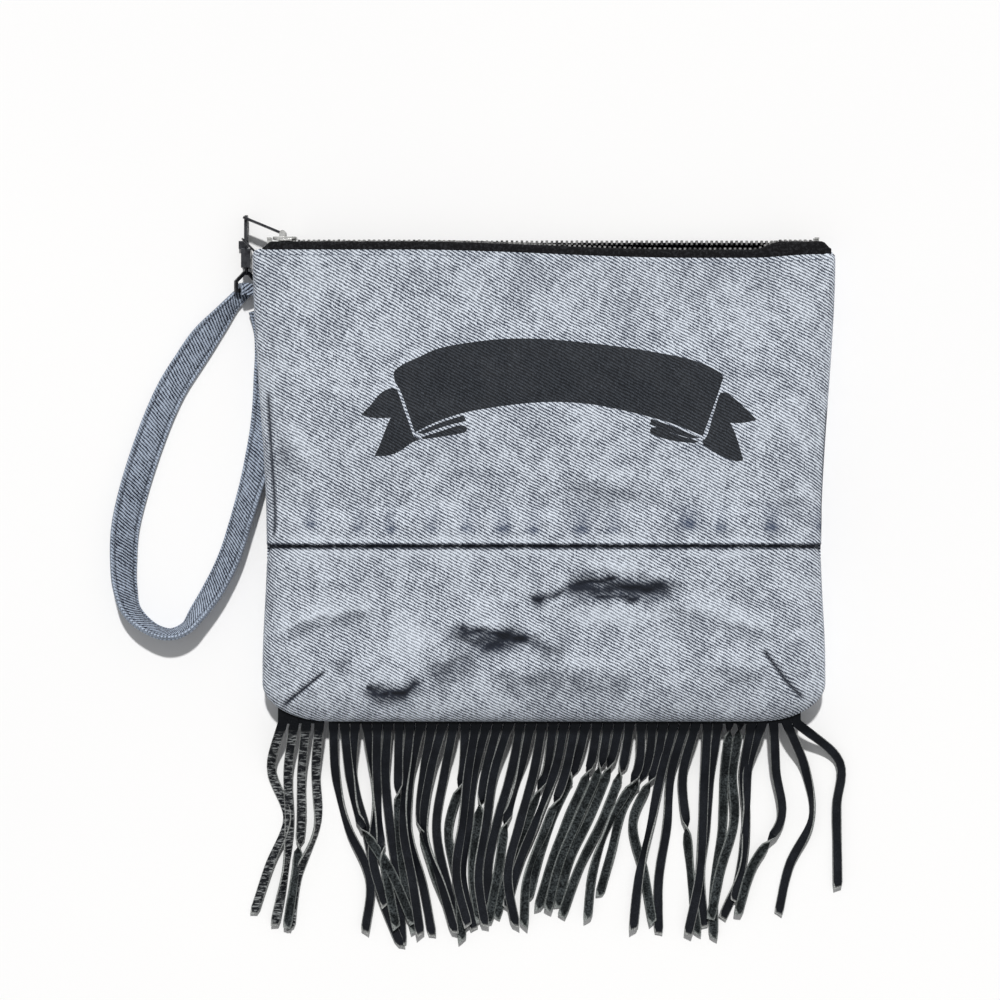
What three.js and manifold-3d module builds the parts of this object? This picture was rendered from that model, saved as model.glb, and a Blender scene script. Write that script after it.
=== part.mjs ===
// A small denim zip pouch with a leather fringe and a clip-on wrist strap, lying on its back.
// Lengths are millimetres: x runs along the zip, y from the fringe up to the zip, z away from the table.
import * as THREE from "three";
import { mergeVertices } from "three/addons/utils/BufferGeometryUtils.js";
import Module from "manifold-3d";

const wasm = await Module();
wasm.setup();

// Air left between pieces that touch
const GAP = 0.3;
// How deep one shape of a piece sinks into the next so that they join
const SINK = 0.2;
// How far a cutting shape runs past the piece it cuts
const OVERCUT = 1;
// Points closer than this are one point
const WELD = 1e-4;
// Sides of round shapes, and pieces in each curve of an outline
const SIDES = { pin: 12, rod: 16 };
const CURVE = { wire: 3, slider: 3, pull: 5, ink: 6, slab: 8 };
// Spans between the rows of points up each panel, and across its flat middle
const ROWS = { corner: 3, lower: 3, upper: 7, back: 10, middle: 10 };

// Pouch
const POUCH = {
  height: 211,
  halfTop: 130.5,
  halfWaist: 124,
  halfHip: 126,
  waistY: 77,
  hipY: 24,
  cornerRun: 30,
  cornerRise: 17,
  topCorner: 2,
  denim: 1.2,
  seamZ: 11.5,
  crown: 11,
  crownShare: 0.6,
  topRise: 6.8,
  sideRoll: 26,
  underRoll: 48,
  bottomRoll: 28,
  topRoll: 3,
  topRollRun: 48,
  zipFacing: 9,
  underLiftRun: 46,
};
const LAP = { y: 79, width: 9, ease: 9, lip: 1 };

// Zip
const TAPE = { thick: 0.7, inset: 5.8, rise: 3.7, bead: 1.1, wallZ: 5.2, bend: 0.9, lower: 1.2 };
const TOOTH = { pitch: 2.25, wide: 1.15, tall: 2.3, reach: 2.7, startInset: 20.5, endInset: 11, tipGap: 0.95 };
const STOP = { wide: 2, wall: 0.7 };
const SLIDER = { long: 10.8, halfWide: 4.5, plate: 1, neck: 1.1, flange: 0.8, startInset: 14.1, corner: 2, neckInset: 0.4,
  neckLong: 3 };
const EAR = { pin: 0.55, wall: 0.5, radius: 1.5, inner: 1.9, thick: 0.8, offset: -1 };
const PULL = { long: 19.5, wide: 3.6, thick: 1.1, angle: 157.5, shoulder: 1, tip: 3 };

// Corner ring and clasp
const RING = { radius: 4.8, wire: 0.5, plan: -45.6, centreZ: 9.5, drop: 1.2, bite: 1.2, sides: 8, arcs: 28 };
const HOOK = {
  long: 24, halfWide: 4.1, axisZ: 5.3, limb: 1.6, thick: 1.4, bodyThick: 4.2, bodyLong: 8.6, base: 1.6,
  ringOffset: 5.3, ringDrop: 6, eyeDrop: 1.6, nose: 1.6, bridge: 0.6,
};
const LEVER = {
  thick: 1.1, pivotY: 6.7, pivotZ: -2.3, root: 1.3, inset: 0.2, lugReach: 3.8, lugFrom: 0.4, lugTo: 4, lugInset: 0.3,
};
const PIN = { radius: 0.45 };
const SPRING = { wire: 0.12, radius: 0.95, turns: 2, step: 0.3, room: 1.3, air: 0.2, points: 8, sections: 10 };
const POST = { radius: 0.9, head: 1.4, headThick: 1.4, play: 0.4 };
const EYE = {
  wide: 11.5, long: 9.5, bar: 1.5, thick: 1.5, tilt: 62,
  neck: 1.6, shoulder: 0.45, holeNeck: 0.9, holeShoulder: 0.5,
};

// Wrist strap
const FOLD = { end: 2, steps: 6, tilt: 30, barShare: 0.72 };
const STRAP = { width: 13.2, thick: 2.4, foldWidth: 7, step: 5.5, spread: 34 };
// Where the swivel's bar is when the strap runs as listed
const STRAP_START = { x: -134.43, y: 193.45 };
// The strap's run, from the swivel down the free side and back under the pouch: x, y, tilt in degrees
const STRAP_ROUTE = [
  [-141, 188, 40], [-146.7, 181, 25], [-153.9, 172, 12], [-161, 161.5, 8], [-167.8, 150.8, 8],
  [-174, 137.7, 10], [-181.4, 117.5, 14], [-186.8, 99, 20], [-189.5, 85.5, 28], [-190.1, 73.4, 34],
  [-189.5, 60.3, 44], [-186.3, 49, 62], [-177.5, 40.9, 74], [-169.2, 38.3, 76], [-161.6, 41.2, 70],
  [-156.6, 47.7, 56], [-149.4, 58.5, 44], [-142.2, 73, 40], [-136.8, 89.8, 40], [-132.3, 105.3, 34],
  [-128.9, 119, 20], [-126.6, 131, 6], [-125.2, 147, 2], [-125.2, 162, 0], [-127.2, 175, -6], [-130.4, 185, -22],
];

// Fringe
const FRINGE = {
  thick: 1.1, strand: 4.3, header: 8, rootY: -1, dropShare: 0.34, layer: 1.4,
  layers: 3, steps: 6,
};
const FLOOR = 0.1;

// Each strand: x at its root, its fall, and its sideways drift at each quarter of the fall
const STRANDS_LEFT = [
  [-117.5, 88, -5.8, 1.4, -6.8, -14], [-112.3, 93, -3.4, -2.9, -5.2, -9.7],
  [-106.8, 94, -2.7, -3.1, -5.9, -9.5], [-101, 95, -2.2, -1.8, -10.8, -14],
];
const STRANDS = [
  [-94.7, 96, 0.7, 6.1, 16, 13.7], [-89.8, 92, 2, 7, 20.9, 30.8], [-84.8, 103, -1.6, 4.7, 10.1, 20.5],
  [-79.9, 84, 2.5, 3.4, 2.5, 8.3], [-74.9, 94, -0.7, 0.2, 3.8, 8.3], [-70, 102, -1.6, 0.7, 4.3, 6.1],
  [-65, 96, -0.7, -0.7, 2, 6.5], [-60.1, 97, -2, -3.4, 0.7, 4.3], [-55.1, 98, -5.2, -6.1, 0.2, 4.7],
  [-50.2, 89, -3.8, -5.6, -0.2, 8.8], [-45.2, 96, -6.1, -8.8, -1.6, 5.2], [-40.3, 98, -4.7, -8.3, -3.8, 3.4],
  [-35.3, 100, -1.6, -7.9, -3.4, -1.6], [-30.4, 93, -3.8, -6.5, -9.2, -3.8], [-25.4, 95, -6.1, -8.8, -11.5, -6.1],
  [-20.5, 91, -5.6, -9.2, -11.9, -8.3], [-15.5, 93, -7, -10.6, -14.2, -11], [-10.6, 89, -3.8, -10.1, -14.6, -13.7],
  [-5.6, 92, -5.2, -11.5, -15.1, -19.6], [-0.7, 93, -3.8, -10.1, -15.5, -11.9], [4.3, 90, -3.4, -11.5, -19.6, -25.9],
  [9.2, 85, -3.8, -11, -20, -26.3], [14.2, 93, -4.3, -12.4, -21.4, -23.2], [19.1, 82, -4.7, -13.7, -20.9, -26.3],
  [24.1, 86, -3.4, -12.4, -20.5, -26.8], [29, 86, -3.8, -12.8, -21.8, -27.2], [34, 85, -4.3, -12.4, -22.3, -27.7],
  [38.9, 89, -3.8, -11.9, -22.7, -30.8], [43.9, 90, -1.6, -13.3, -21.4, -24.1], [48.8, 80, -2, -12.8, -18.2, -23.6],
  [53.8, 92, -3.8, -13.3, -8.3, -4.3], [58.7, 95, -5.6, -10.1, -15.5, -18.2], [63.7, 97, -6.1, -7.9, -11.5, -11.5],
  [68.6, 97, -5.6, -3.8, -1.6, 1.1], [73.6, 97, -0.7, -1.6, -3.4, -8.3], [78.5, 94, -2.9, -4.7, -7, -5.6],
  [83.5, 99, -1.6, -2.5, -6.1, -6.5], [88.4, 90, -2.9, -2, -8.3, -12.8], [93.4, 90, -2.9, -1.6, -3.4, -12.4],
  [98.3, 82, -5.6, -6.5, -7.9, -11.9], [103.3, 88, 1.6, 4.3, -8.8, -15.5], [109, 88, 9.7, 12.8, 2.5, -2.5],
  [113.4, 76, 20.9, 19.6, 19.8, 20],
];

// Banner print on the front
const INK = { thick: 0.2 };
const BANNER = { x: 6.3, drop: 48, half: 73, rise: 8, sag: 9, tall: 28, depth: 60, peak: -0.02, bend: 0.5,
  lower: 0.93, lowerBend: 0.45 };
// Each tail's outline: how far past the ribbon's end, and how far below its shoulder
const TAIL = [[0.6, 8], [8, 5], [16, 19], [7.5, 21], [10.5, 37], [-2, 32.5], [-4.6, 27.6]];

const COLOURS = {
  denim: new THREE.MeshStandardMaterial({ color: 0xa5adb8, roughness: 0.92 }),
  strapDenim: new THREE.MeshStandardMaterial({ color: 0x7f8ca0, roughness: 0.92 }),
  leather: new THREE.MeshStandardMaterial({ color: 0x15181c, roughness: 0.55 }),
  tape: new THREE.MeshStandardMaterial({ color: 0x17181b, roughness: 0.85 }),
  nickel: new THREE.MeshStandardMaterial({ color: 0xb9b9b6, roughness: 0.3, metalness: 1 }),
  gunmetal: new THREE.MeshStandardMaterial({ color: 0x3a3b3e, roughness: 0.35, metalness: 1 }),
  ink: new THREE.MeshStandardMaterial({ color: 0x23262d, roughness: 0.9 }),
};

const V = (x, y, z) => new THREE.Vector3(x, y, z);
const clamp01 = (t) => Math.min(1, Math.max(0, t));
const smooth = (t) => {
  const c = clamp01(t);
  return c * c * (3 - 2 * c);
};
const lerp = THREE.MathUtils.lerp;

// Quarter of an ellipse: 0 at an edge, 1 from the roll's width inwards
function roll(distance, width) {
  const t = clamp01(distance / width);
  return Math.sqrt(1 - (1 - t) * (1 - t));
}

// Half the pouch's width at a height
function halfWidth(y) {
  const { height, halfTop, halfWaist, halfHip, waistY, hipY, cornerRun, cornerRise, topCorner } = POUCH;
  let half = halfHip;
  if (y > waistY) half = lerp(halfWaist, halfTop, smooth((y - waistY) / (height - waistY)));
  else if (y > hipY) half = lerp(halfHip, halfWaist, smooth((y - hipY) / (waistY - hipY)));
  if (y < cornerRise) half -= cornerRun * (1 - roll(y, cornerRise));
  const above = y - (height - topCorner);
  if (above > 0) half -= topCorner - Math.sqrt(topCorner ** 2 - Math.min(above, topCorner) ** 2);
  return half;
}

// How far each panel's rim stands off the seam's middle: the fringe is sewn into the bottom
function rimGap(y) {
  return lerp(FRINGE.thick / 2 + 2 * GAP, GAP, smooth((y - POUCH.cornerRise / 2) / POUCH.cornerRise));
}

// Width of the roll at the side seams, tight near the zip
function sideRollAt(y, low) {
  const { height, zipFacing, topRoll, topRollRun } = POUCH;
  return lerp(topRoll, low, smooth((height - zipFacing - y) / topRollRun));
}

// Middle of the front panel's denim above the table
function frontZ(x, y) {
  const { height, seamZ, crown, crownShare, topRise, sideRoll, bottomRoll, zipFacing } = POUCH;
  const fallRun = height * (1 - crownShare) - zipFacing;
  const full = lerp(crown, topRise, smooth((y - height * crownShare) / fallRun));
  const inset = halfWidth(y) - Math.abs(x);
  const gap = rimGap(y);
  return seamZ + gap + (full - gap) * roll(inset, sideRollAt(y, sideRoll)) * roll(y, bottomRoll);
}

// Middle of the back panel's denim above the table
function backZ(x, y) {
  const { height, seamZ, topRise, underLiftRun, underRoll, sideRoll, bottomRoll, denim } = POUCH;
  const flat = seamZ - denim / 2;
  const full = lerp(flat, topRise, smooth((y - (height - underLiftRun)) / (underLiftRun - POUCH.zipFacing)));
  const inset = halfWidth(y) - Math.abs(x);
  const gap = rimGap(y);
  const side = x < 0 ? underRoll : sideRoll;
  return seamZ - gap - (full - gap) * roll(inset, sideRollAt(y, side)) * roll(y, bottomRoll);
}

// A closed sheet of one thickness about a grid of points on its middle
function sheet(grid, thick) {
  const rows = grid.length;
  const cols = grid[0].length;
  const at = (r, c) => grid[Math.min(rows - 1, Math.max(0, r))][Math.min(cols - 1, Math.max(0, c))];
  const position = [];
  for (const side of [1, -1])
    for (let r = 0; r < rows; r++)
      for (let c = 0; c < cols; c++) {
        const across = at(r, c + 1).clone().sub(at(r, c - 1));
        const along = at(r + 1, c).clone().sub(at(r - 1, c));
        const normal = across.cross(along).normalize();
        position.push(...at(r, c).clone().addScaledVector(normal, (side * thick) / 2).toArray());
      }
  const index = [];
  const half = rows * cols;
  const quad = (a, b, c, d) => index.push(a, b, c, a, c, d);
  for (let r = 0; r + 1 < rows; r++)
    for (let c = 0; c + 1 < cols; c++) {
      const a = r * cols + c;
      quad(a, a + 1, a + cols + 1, a + cols);
      quad(half + a, half + a + cols, half + a + cols + 1, half + a + 1);
    }
  const rim = [];
  for (let c = 0; c < cols; c++) rim.push(c);
  for (let r = 1; r < rows; r++) rim.push(r * cols + cols - 1);
  for (let c = cols - 2; c >= 0; c--) rim.push((rows - 1) * cols + c);
  for (let r = rows - 2; r > 0; r--) rim.push(r * cols);
  rim.forEach((a, i) => {
    const b = rim[(i + 1) % rim.length];
    quad(a, half + a, half + b, b);
  });
  const geometry = new THREE.BufferGeometry();
  geometry.setAttribute("position", new THREE.Float32BufferAttribute(position, 3));
  geometry.setIndex(index);
  return geometry;
}

// A band of rectangular section: each station has a centre, a width direction and a width
function band(stations, thick) {
  const position = [];
  stations.forEach((s, i) => {
    const before = stations[Math.max(0, i - 1)].centre;
    const after = stations[Math.min(stations.length - 1, i + 1)].centre;
    const along = after.clone().sub(before).normalize();
    const across = s.across.clone().addScaledVector(along, -s.across.dot(along)).normalize();
    const up = across.clone().cross(along).normalize();
    for (const [a, b] of [[-1, -1], [1, -1], [1, 1], [-1, 1]])
      position.push(
        ...s.centre.clone()
          .addScaledVector(across, (a * s.width) / 2)
          .addScaledVector(up, (b * thick) / 2)
          .toArray(),
      );
  });
  const index = [];
  const quad = (a, b, c, d) => index.push(a, b, c, a, c, d);
  for (let i = 0; i + 1 < stations.length; i++)
    for (let k = 0; k < 4; k++) {
      const next = (k + 1) % 4;
      quad(i * 4 + k, i * 4 + 4 + k, i * 4 + 4 + next, i * 4 + next);
    }
  const last = (stations.length - 1) * 4;
  quad(0, 1, 2, 3);
  quad(last, last + 3, last + 2, last + 1);
  const geometry = new THREE.BufferGeometry();
  geometry.setAttribute("position", new THREE.Float32BufferAttribute(position, 3));
  geometry.setIndex(index);
  return geometry;
}

function toSolid(geometry) {
  const bare = geometry.clone();
  bare.deleteAttribute("normal");
  bare.deleteAttribute("uv");
  const merged = mergeVertices(bare, WELD);
  return new wasm.Manifold(
    new wasm.Mesh({
      numProp: 3,
      vertProperties: new Float32Array(merged.attributes.position.array),
      triVerts: new Uint32Array(merged.index.array),
    }),
  );
}

function toGeometry(solid) {
  const mesh = solid.getMesh();
  const geometry = new THREE.BufferGeometry();
  geometry.setAttribute("position", new THREE.BufferAttribute(new Float32Array(mesh.vertProperties), 3));
  geometry.setIndex(new THREE.BufferAttribute(new Uint32Array(mesh.triVerts), 1));
  return geometry;
}

const joined = (geometries) => toGeometry(geometries.map(toSolid).reduce((a, b) => a.add(b)));
const cut = (from, ...tools) => toGeometry(tools.map(toSolid).reduce((a, b) => a.subtract(b), toSolid(from)));

// A box between two corners
function block(low, high) {
  const size = V(...high).sub(V(...low));
  const geometry = new THREE.BoxGeometry(size.x, size.y, size.z);
  const centre = V(...low).addScaledVector(size, 0.5);
  return geometry.translate(centre.x, centre.y, centre.z);
}

// An outline of [z, y] points made thick along x about a middle
function slabX(outline, thick, middle = 0) {
  const shape = outline instanceof THREE.Shape ? outline : new THREE.Shape(outline.map((p) => new THREE.Vector2(...p)));
  const geometry = new THREE.ExtrudeGeometry(shape, { depth: thick, bevelEnabled: false, curveSegments: CURVE.slab });
  return geometry.translate(0, 0, -thick / 2).rotateY(-Math.PI / 2).translate(middle, 0, 0);
}

const root = new THREE.Group();

function add(name, geometry, material, parent = root) {
  const mesh = new THREE.Mesh(geometry, material);
  mesh.name = name;
  parent.add(mesh);
  return mesh;
}

// Distances in from an edge at which a rolled panel needs a line of points, closest where it turns most
const ROLL_SHARES = [0, 0.03, 0.11, 0.24, 0.42, 0.66, 1];
const insets = (width) => ROLL_SHARES.map((t) => t * width);

function panelGrid(ys, height, shrink = () => 0) {
  return ys.map((y) => {
    const half = halfWidth(y);
    const edge = insets(sideRollAt(y, POUCH.sideRoll));
    const inner = half - edge[edge.length - 1];
    const xs = edge.map((d) => -half + d);
    for (let i = 1; i < ROWS.middle; i++) xs.push(-inner + (2 * inner * i) / ROWS.middle);
    edge.slice().reverse().forEach((d) => xs.push(half - d));
    const narrow = (half - shrink(y)) / half;
    return xs.map((x) => V(x * narrow, y, height(x, y)));
  });
}

function spread(from, to, count) {
  return Array.from({ length: count + 1 }, (_, i) => lerp(from, to, i / count));
}

const lowRows = insets(POUCH.bottomRoll);
const highRows = spread(POUCH.height - POUCH.topCorner, POUCH.height, ROWS.corner);
const lapTop = LAP.y + LAP.width;
const lapStep = POUCH.denim + GAP;

// The upper front panel laps over the lower one, so it stands proud along the seam
const upperZ = (x, y) => frontZ(x, y) + lapStep * (1 - smooth((y - lapTop - GAP) / LAP.ease));
const tuck = (y) => lapStep * smooth((y - LAP.y + LAP.ease) / (LAP.ease - GAP));

const upperRows = [LAP.y, lapTop, lapTop + LAP.ease / 2, lapTop + LAP.ease]
  .concat(spread(lapTop + LAP.ease, POUCH.height - POUCH.topCorner, ROWS.upper).slice(1, -1), highRows);
const lowerRows = lowRows.concat(
  spread(POUCH.bottomRoll, LAP.y - LAP.ease, ROWS.lower).slice(1), LAP.y - LAP.lip, lapTop);
const backRows = lowRows.concat(
  spread(POUCH.bottomRoll, POUCH.height - POUCH.topCorner, ROWS.back).slice(1, -1), highRows);

const upperGrid = panelGrid(upperRows, upperZ);
const backGrid = panelGrid(backRows, backZ).map((row) => row.reverse());
add("front_panel_lower", sheet(panelGrid(lowerRows, frontZ, tuck), POUCH.denim), COLOURS.denim);

// Zip: two straight halves mirrored about the seam's middle
const zipY = POUCH.height + TAPE.rise;
const tapeLeft = TAPE.inset - POUCH.halfTop;
const tapeRight = POUCH.halfTop - TAPE.inset;
const firstTooth = TOOTH.startInset - POUCH.halfTop;
const toothCount = Math.floor((POUCH.halfTop - TOOTH.endInset - firstTooth) / TOOTH.pitch) + 1;
const sliderX = SLIDER.startInset - POUCH.halfTop;
const wallZ = TAPE.wallZ + TAPE.thick / 2;
const mirrorZ = (points, side) => points.map(([z, y]) => [POUCH.seamZ + side * z, y]);

function zipHalf(side, shift) {
  const t = TAPE.thick;
  const foot = POUCH.height - POUCH.zipFacing;
  const bead = TOOTH.tall / 2;
  const toothEnd = TOOTH.tipGap + TOOTH.reach;
  const beadZ = toothEnd - TAPE.bead;
  const outline = mirrorZ([
    [beadZ, zipY - bead], [toothEnd, zipY - bead], [toothEnd, zipY - t / 2], [wallZ - TAPE.bend, zipY - t / 2],
    [wallZ - t, zipY - TAPE.lower], [wallZ - t, foot], [wallZ, foot], [wallZ, zipY - TAPE.bend],
    [wallZ - TAPE.bend * 2 / 3, zipY + t / 2], [toothEnd, zipY + t / 2], [toothEnd, zipY + bead], [beadZ, zipY + bead],
  ], side);
  const tape = slabX(outline, tapeRight - tapeLeft);
  const teeth = [];
  for (let i = 0; i < toothCount; i++) {
    const x = firstTooth + shift + i * TOOTH.pitch;
    const [near, far] = [TOOTH.tipGap, beadZ + GAP].map((z) => POUCH.seamZ + side * z);
    teeth.push(block(
      [x - TOOTH.wide / 2, zipY - TOOTH.tall / 2, Math.min(near, far)],
      [x + TOOTH.wide / 2, zipY + TOOTH.tall / 2, Math.max(near, far)],
    ));
  }
  return joined([tape, ...teeth]);
}
add("zip_half_front", zipHalf(1, 0), COLOURS.tape);
add("zip_half_back", zipHalf(-1, TOOTH.pitch / 2), COLOURS.tape);

// A stop crimped on one tape's edge: a clip open towards the tape
function topStop(side) {
  const inner = TOOTH.tall / 2 + GAP;
  const outer = inner + STOP.wall;
  const back = TOOTH.tipGap + TOOTH.reach - TAPE.bead - GAP;
  const far = TOOTH.tipGap + TOOTH.reach;
  const outline = mirrorZ([
    [back - STOP.wall, zipY - outer], [far, zipY - outer], [far, zipY - inner],
    [back, zipY - inner], [back, zipY + inner], [far, zipY + inner],
    [far, zipY + outer], [back - STOP.wall, zipY + outer],
  ], side);
  const x = firstTooth + (toothCount - 0.5) * TOOTH.pitch + TOOTH.wide / 2 + GAP + STOP.wide / 2;
  return slabX(outline, STOP.wide, x);
}
add("top_stop_front", topStop(1), COLOURS.nickel);
add("top_stop_back", topStop(-1), COLOURS.nickel);

// The bottom stop is a staple that holds both tapes' edges
const stopHigh = TOOTH.tall / 2 + GAP;
const stapleReach = TOOTH.tipGap + TOOTH.reach;
const stapleX = tapeLeft + STOP.wide / 2 + GAP;
const stapleLow = [stapleX - STOP.wide / 2, zipY - stopHigh - STOP.wall, POUCH.seamZ - stapleReach];
const stapleHigh = [stapleX + STOP.wide / 2, zipY + stopHigh + STOP.wall, POUCH.seamZ + stapleReach];
const slotAt = (side) => {
  const z = [POUCH.seamZ + side * (stapleReach - TAPE.bead - GAP), POUCH.seamZ + side * (wallZ + OVERCUT)].sort((a, b) => a - b);
  return block([stapleX - STOP.wide, zipY - stopHigh, z[0]], [stapleX + STOP.wide, zipY + stopHigh, z[1]]);
};
add("bottom_stop", cut(block(stapleLow, stapleHigh), slotAt(1), slotAt(-1)), COLOURS.nickel);

// Slider: two plates about the teeth, a neck between the rows and flanges behind the teeth
const sliderIn = TOOTH.tall / 2 + GAP;
const sliderOut = sliderIn + SLIDER.plate;
const slotHalf = TAPE.thick / 2 + GAP;
const [sl, sh] = [POUCH.seamZ - SLIDER.halfWide, POUCH.seamZ + SLIDER.halfWide];
const flangeZ = SLIDER.halfWide - SLIDER.flange;
const x0 = sliderX - SLIDER.long / 2;
const x1 = sliderX + SLIDER.long / 2;
const neckHalf = Math.min(SLIDER.neck / 2, TOOTH.tipGap - GAP);
const plateShape = (y, thick) => {
  const s = new THREE.Shape();
  const r = SLIDER.corner;
  s.moveTo(x0, sl + r);
  s.lineTo(x0, sh - r);
  s.quadraticCurveTo(x0, sh, x0 + r, sh);
  s.lineTo(x1 - r, sh);
  s.quadraticCurveTo(x1, sh, x1, sh - r);
  s.lineTo(x1, sl + r);
  s.quadraticCurveTo(x1, sl, x1 - r, sl);
  s.lineTo(x0 + r, sl);
  s.quadraticCurveTo(x0, sl, x0, sl + r);
  const g = new THREE.ExtrudeGeometry(s, { depth: thick, bevelEnabled: false, curveSegments: CURVE.slider });
  return g.rotateX(Math.PI / 2).translate(0, y + thick, 0);
};
const barrelOuter = EAR.pin + GAP + EAR.wall;
const pullHinge = V(sliderX + EAR.offset, zipY + sliderOut + barrelOuter + GAP, POUCH.seamZ);
const rod = (radius, z0, z1, at, sides = SIDES.rod) =>
  new THREE.CylinderGeometry(radius, radius, z1 - z0, sides)
    .rotateX(Math.PI / 2)
    .translate(at.x, at.y, at.z + (z0 + z1) / 2);
const ear = (side) => {
  const z = [side * EAR.inner, side * (EAR.inner + EAR.thick)].sort((a, b) => a - b);
  return [
    rod(EAR.radius, z[0], z[1], pullHinge),
    block([pullHinge.x - EAR.radius, zipY + sliderIn + SINK, pullHinge.z + z[0]],
      [pullHinge.x + EAR.radius, pullHinge.y, pullHinge.z + z[1]]),
  ];
};
const neckX = x1 - SLIDER.neckInset;
const sliderParts = [
  plateShape(zipY + sliderIn, SLIDER.plate),
  plateShape(zipY - sliderOut, SLIDER.plate),
  block([neckX - SLIDER.neckLong, zipY - sliderIn - SINK, POUCH.seamZ - neckHalf],
    [neckX, zipY + sliderIn + SINK, POUCH.seamZ + neckHalf]),
  ...ear(1),
  ...ear(-1),
  rod(EAR.pin, -EAR.inner - SINK, EAR.inner + SINK, pullHinge, SIDES.pin),
];
for (const side of [1, -1])
  for (const [low, high] of [[slotHalf, sliderIn + SINK], [-sliderIn - SINK, -slotHalf]]) {
    const z = [POUCH.seamZ + side * flangeZ, POUCH.seamZ + side * SLIDER.halfWide].sort((a, b) => a - b);
    sliderParts.push(block([x0 + SLIDER.corner, zipY + low, z[0]], [x1 - SLIDER.corner, zipY + high, z[1]]));
  }
add("zip_slider", joined(sliderParts), COLOURS.nickel);

// Pull: a thin plate whose barrel turns on the pin between the ears
const barrelHalf = EAR.inner - GAP;
const pullHalf = PULL.wide / 2;
const pullShape = new THREE.Shape();
const shoulder = EAR.radius + PULL.shoulder;
const pullTip = PULL.long - PULL.tip;
pullShape.moveTo(EAR.pin + GAP + SINK, -barrelHalf);
pullShape.lineTo(shoulder, -barrelHalf);
pullShape.lineTo(shoulder + PULL.shoulder, -pullHalf);
pullShape.lineTo(pullTip, -pullHalf);
pullShape.quadraticCurveTo(PULL.long, -pullHalf, PULL.long, 0);
pullShape.quadraticCurveTo(PULL.long, pullHalf, pullTip, pullHalf);
pullShape.lineTo(shoulder + PULL.shoulder, pullHalf);
pullShape.lineTo(shoulder, barrelHalf);
pullShape.lineTo(EAR.pin + GAP + SINK, barrelHalf);
const pullPlate = new THREE.ExtrudeGeometry(pullShape, {
  depth: PULL.thick, bevelEnabled: false, curveSegments: CURVE.pull,
})
  .translate(0, 0, -PULL.thick / 2)
  .rotateX(-Math.PI / 2)
  .rotateZ(THREE.MathUtils.degToRad(PULL.angle))
  .translate(pullHinge.x, pullHinge.y, pullHinge.z);
const barrel = rod(barrelOuter, -barrelHalf, barrelHalf, pullHinge);
const bore = rod(EAR.pin + GAP, -EAR.inner, EAR.inner, pullHinge, SIDES.pin);
add("zip_pull", cut(joined([pullPlate, barrel]), bore), COLOURS.nickel);

// Corner ring: it stands upright, through the hook's opening and the seam at the pouch's corner
const ringDir = V(Math.cos(THREE.MathUtils.degToRad(RING.plan)), Math.sin(THREE.MathUtils.degToRad(RING.plan)), 0);
const ringY = POUCH.height - RING.drop;
const ringNear = V(-halfWidth(ringY) + RING.bite, ringY, RING.centreZ);
const ringCentre = ringNear.clone().addScaledVector(ringDir, -RING.radius);
const ringOf = (wire) =>
  new THREE.TorusGeometry(RING.radius, wire, RING.sides, RING.arcs)
    .applyMatrix4(new THREE.Matrix4().makeBasis(ringDir, V(0, 0, 1), ringDir.clone().cross(V(0, 0, 1))))
    .translate(ringCentre.x, ringCentre.y, ringCentre.z);
add("corner_ring", ringOf(RING.wire), COLOURS.gunmetal);
const ringHole = ringOf(RING.wire + GAP);
add("front_panel_upper", cut(sheet(upperGrid, POUCH.denim), ringHole), COLOURS.denim);
add("back_panel", cut(sheet(backGrid, POUCH.denim), ringHole), COLOURS.denim);

// Clasp: all its shapes are drawn as [z, y] about the swivel's axis and made thick along x
const hookX = ringNear.x - HOOK.ringOffset;
const hookY = ringY - HOOK.ringDrop;
const H = HOOK.halfWide;
const inHook = (g) => g.translate(hookX, hookY, HOOK.axisZ);
const arcShape = () => {
  const s = new THREE.Shape();
  const top = HOOK.long - H;
  s.moveTo(-H, HOOK.bodyLong);
  s.lineTo(-H, 0);
  s.lineTo(H, 0);
  s.lineTo(H, top);
  s.absarc(0, top, H, 0, Math.PI, false);
  s.lineTo(-H, top - HOOK.nose);
  s.lineTo(-H + HOOK.limb, top - HOOK.nose);
  s.lineTo(-H + HOOK.limb, top);
  s.absarc(0, top, H - HOOK.limb, Math.PI, 0, true);
  s.lineTo(H - HOOK.limb, HOOK.bodyLong);
  s.lineTo(-H, HOOK.bodyLong);
  return s;
};
const hookBlank = slabX(arcShape(), HOOK.thick);
const bodyBlock = block([-HOOK.bodyThick / 2, 0, -H], [HOOK.bodyThick / 2, HOOK.bodyLong, H]);
const windowTop = HOOK.base + POST.headThick + 2 * GAP + POST.play;
const windowHalf = POST.head + GAP;
const swivelWindow = block([-HOOK.bodyThick, HOOK.base, -windowHalf], [HOOK.bodyThick, windowTop, windowHalf]);
const postBore = new THREE.CylinderGeometry(POST.radius + GAP, POST.radius + GAP, 4 * HOOK.base, SIDES.rod);
const leverSlot = block(
  [-LEVER.thick / 2 - GAP, windowTop + HOOK.bridge, -H - OVERCUT],
  [LEVER.thick / 2 + GAP, HOOK.bodyLong + OVERCUT, LEVER.pivotZ + LEVER.root + 2 * GAP],
);
const springPocket = block(
  [0, windowTop + HOOK.bridge, -H - OVERCUT],
  [LEVER.thick / 2 + GAP + SPRING.turns * SPRING.step + 2 * SPRING.wire + SPRING.air,
    LEVER.pivotY + SPRING.room, LEVER.pivotZ + SPRING.room],
);
const pinAt = { x: 0, y: LEVER.pivotY, z: LEVER.pivotZ };
const pinRod = (radius, half, sides = SIDES.pin) =>
  new THREE.CylinderGeometry(radius, radius, 2 * half, sides)
    .rotateZ(Math.PI / 2)
    .translate(pinAt.x, pinAt.y, pinAt.z);
const hookSolid = cut(
  joined([hookBlank, bodyBlock]), swivelWindow, postBore, leverSlot, springPocket,
  pinRod(PIN.radius + GAP / 2, HOOK.bodyThick),
);
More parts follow.
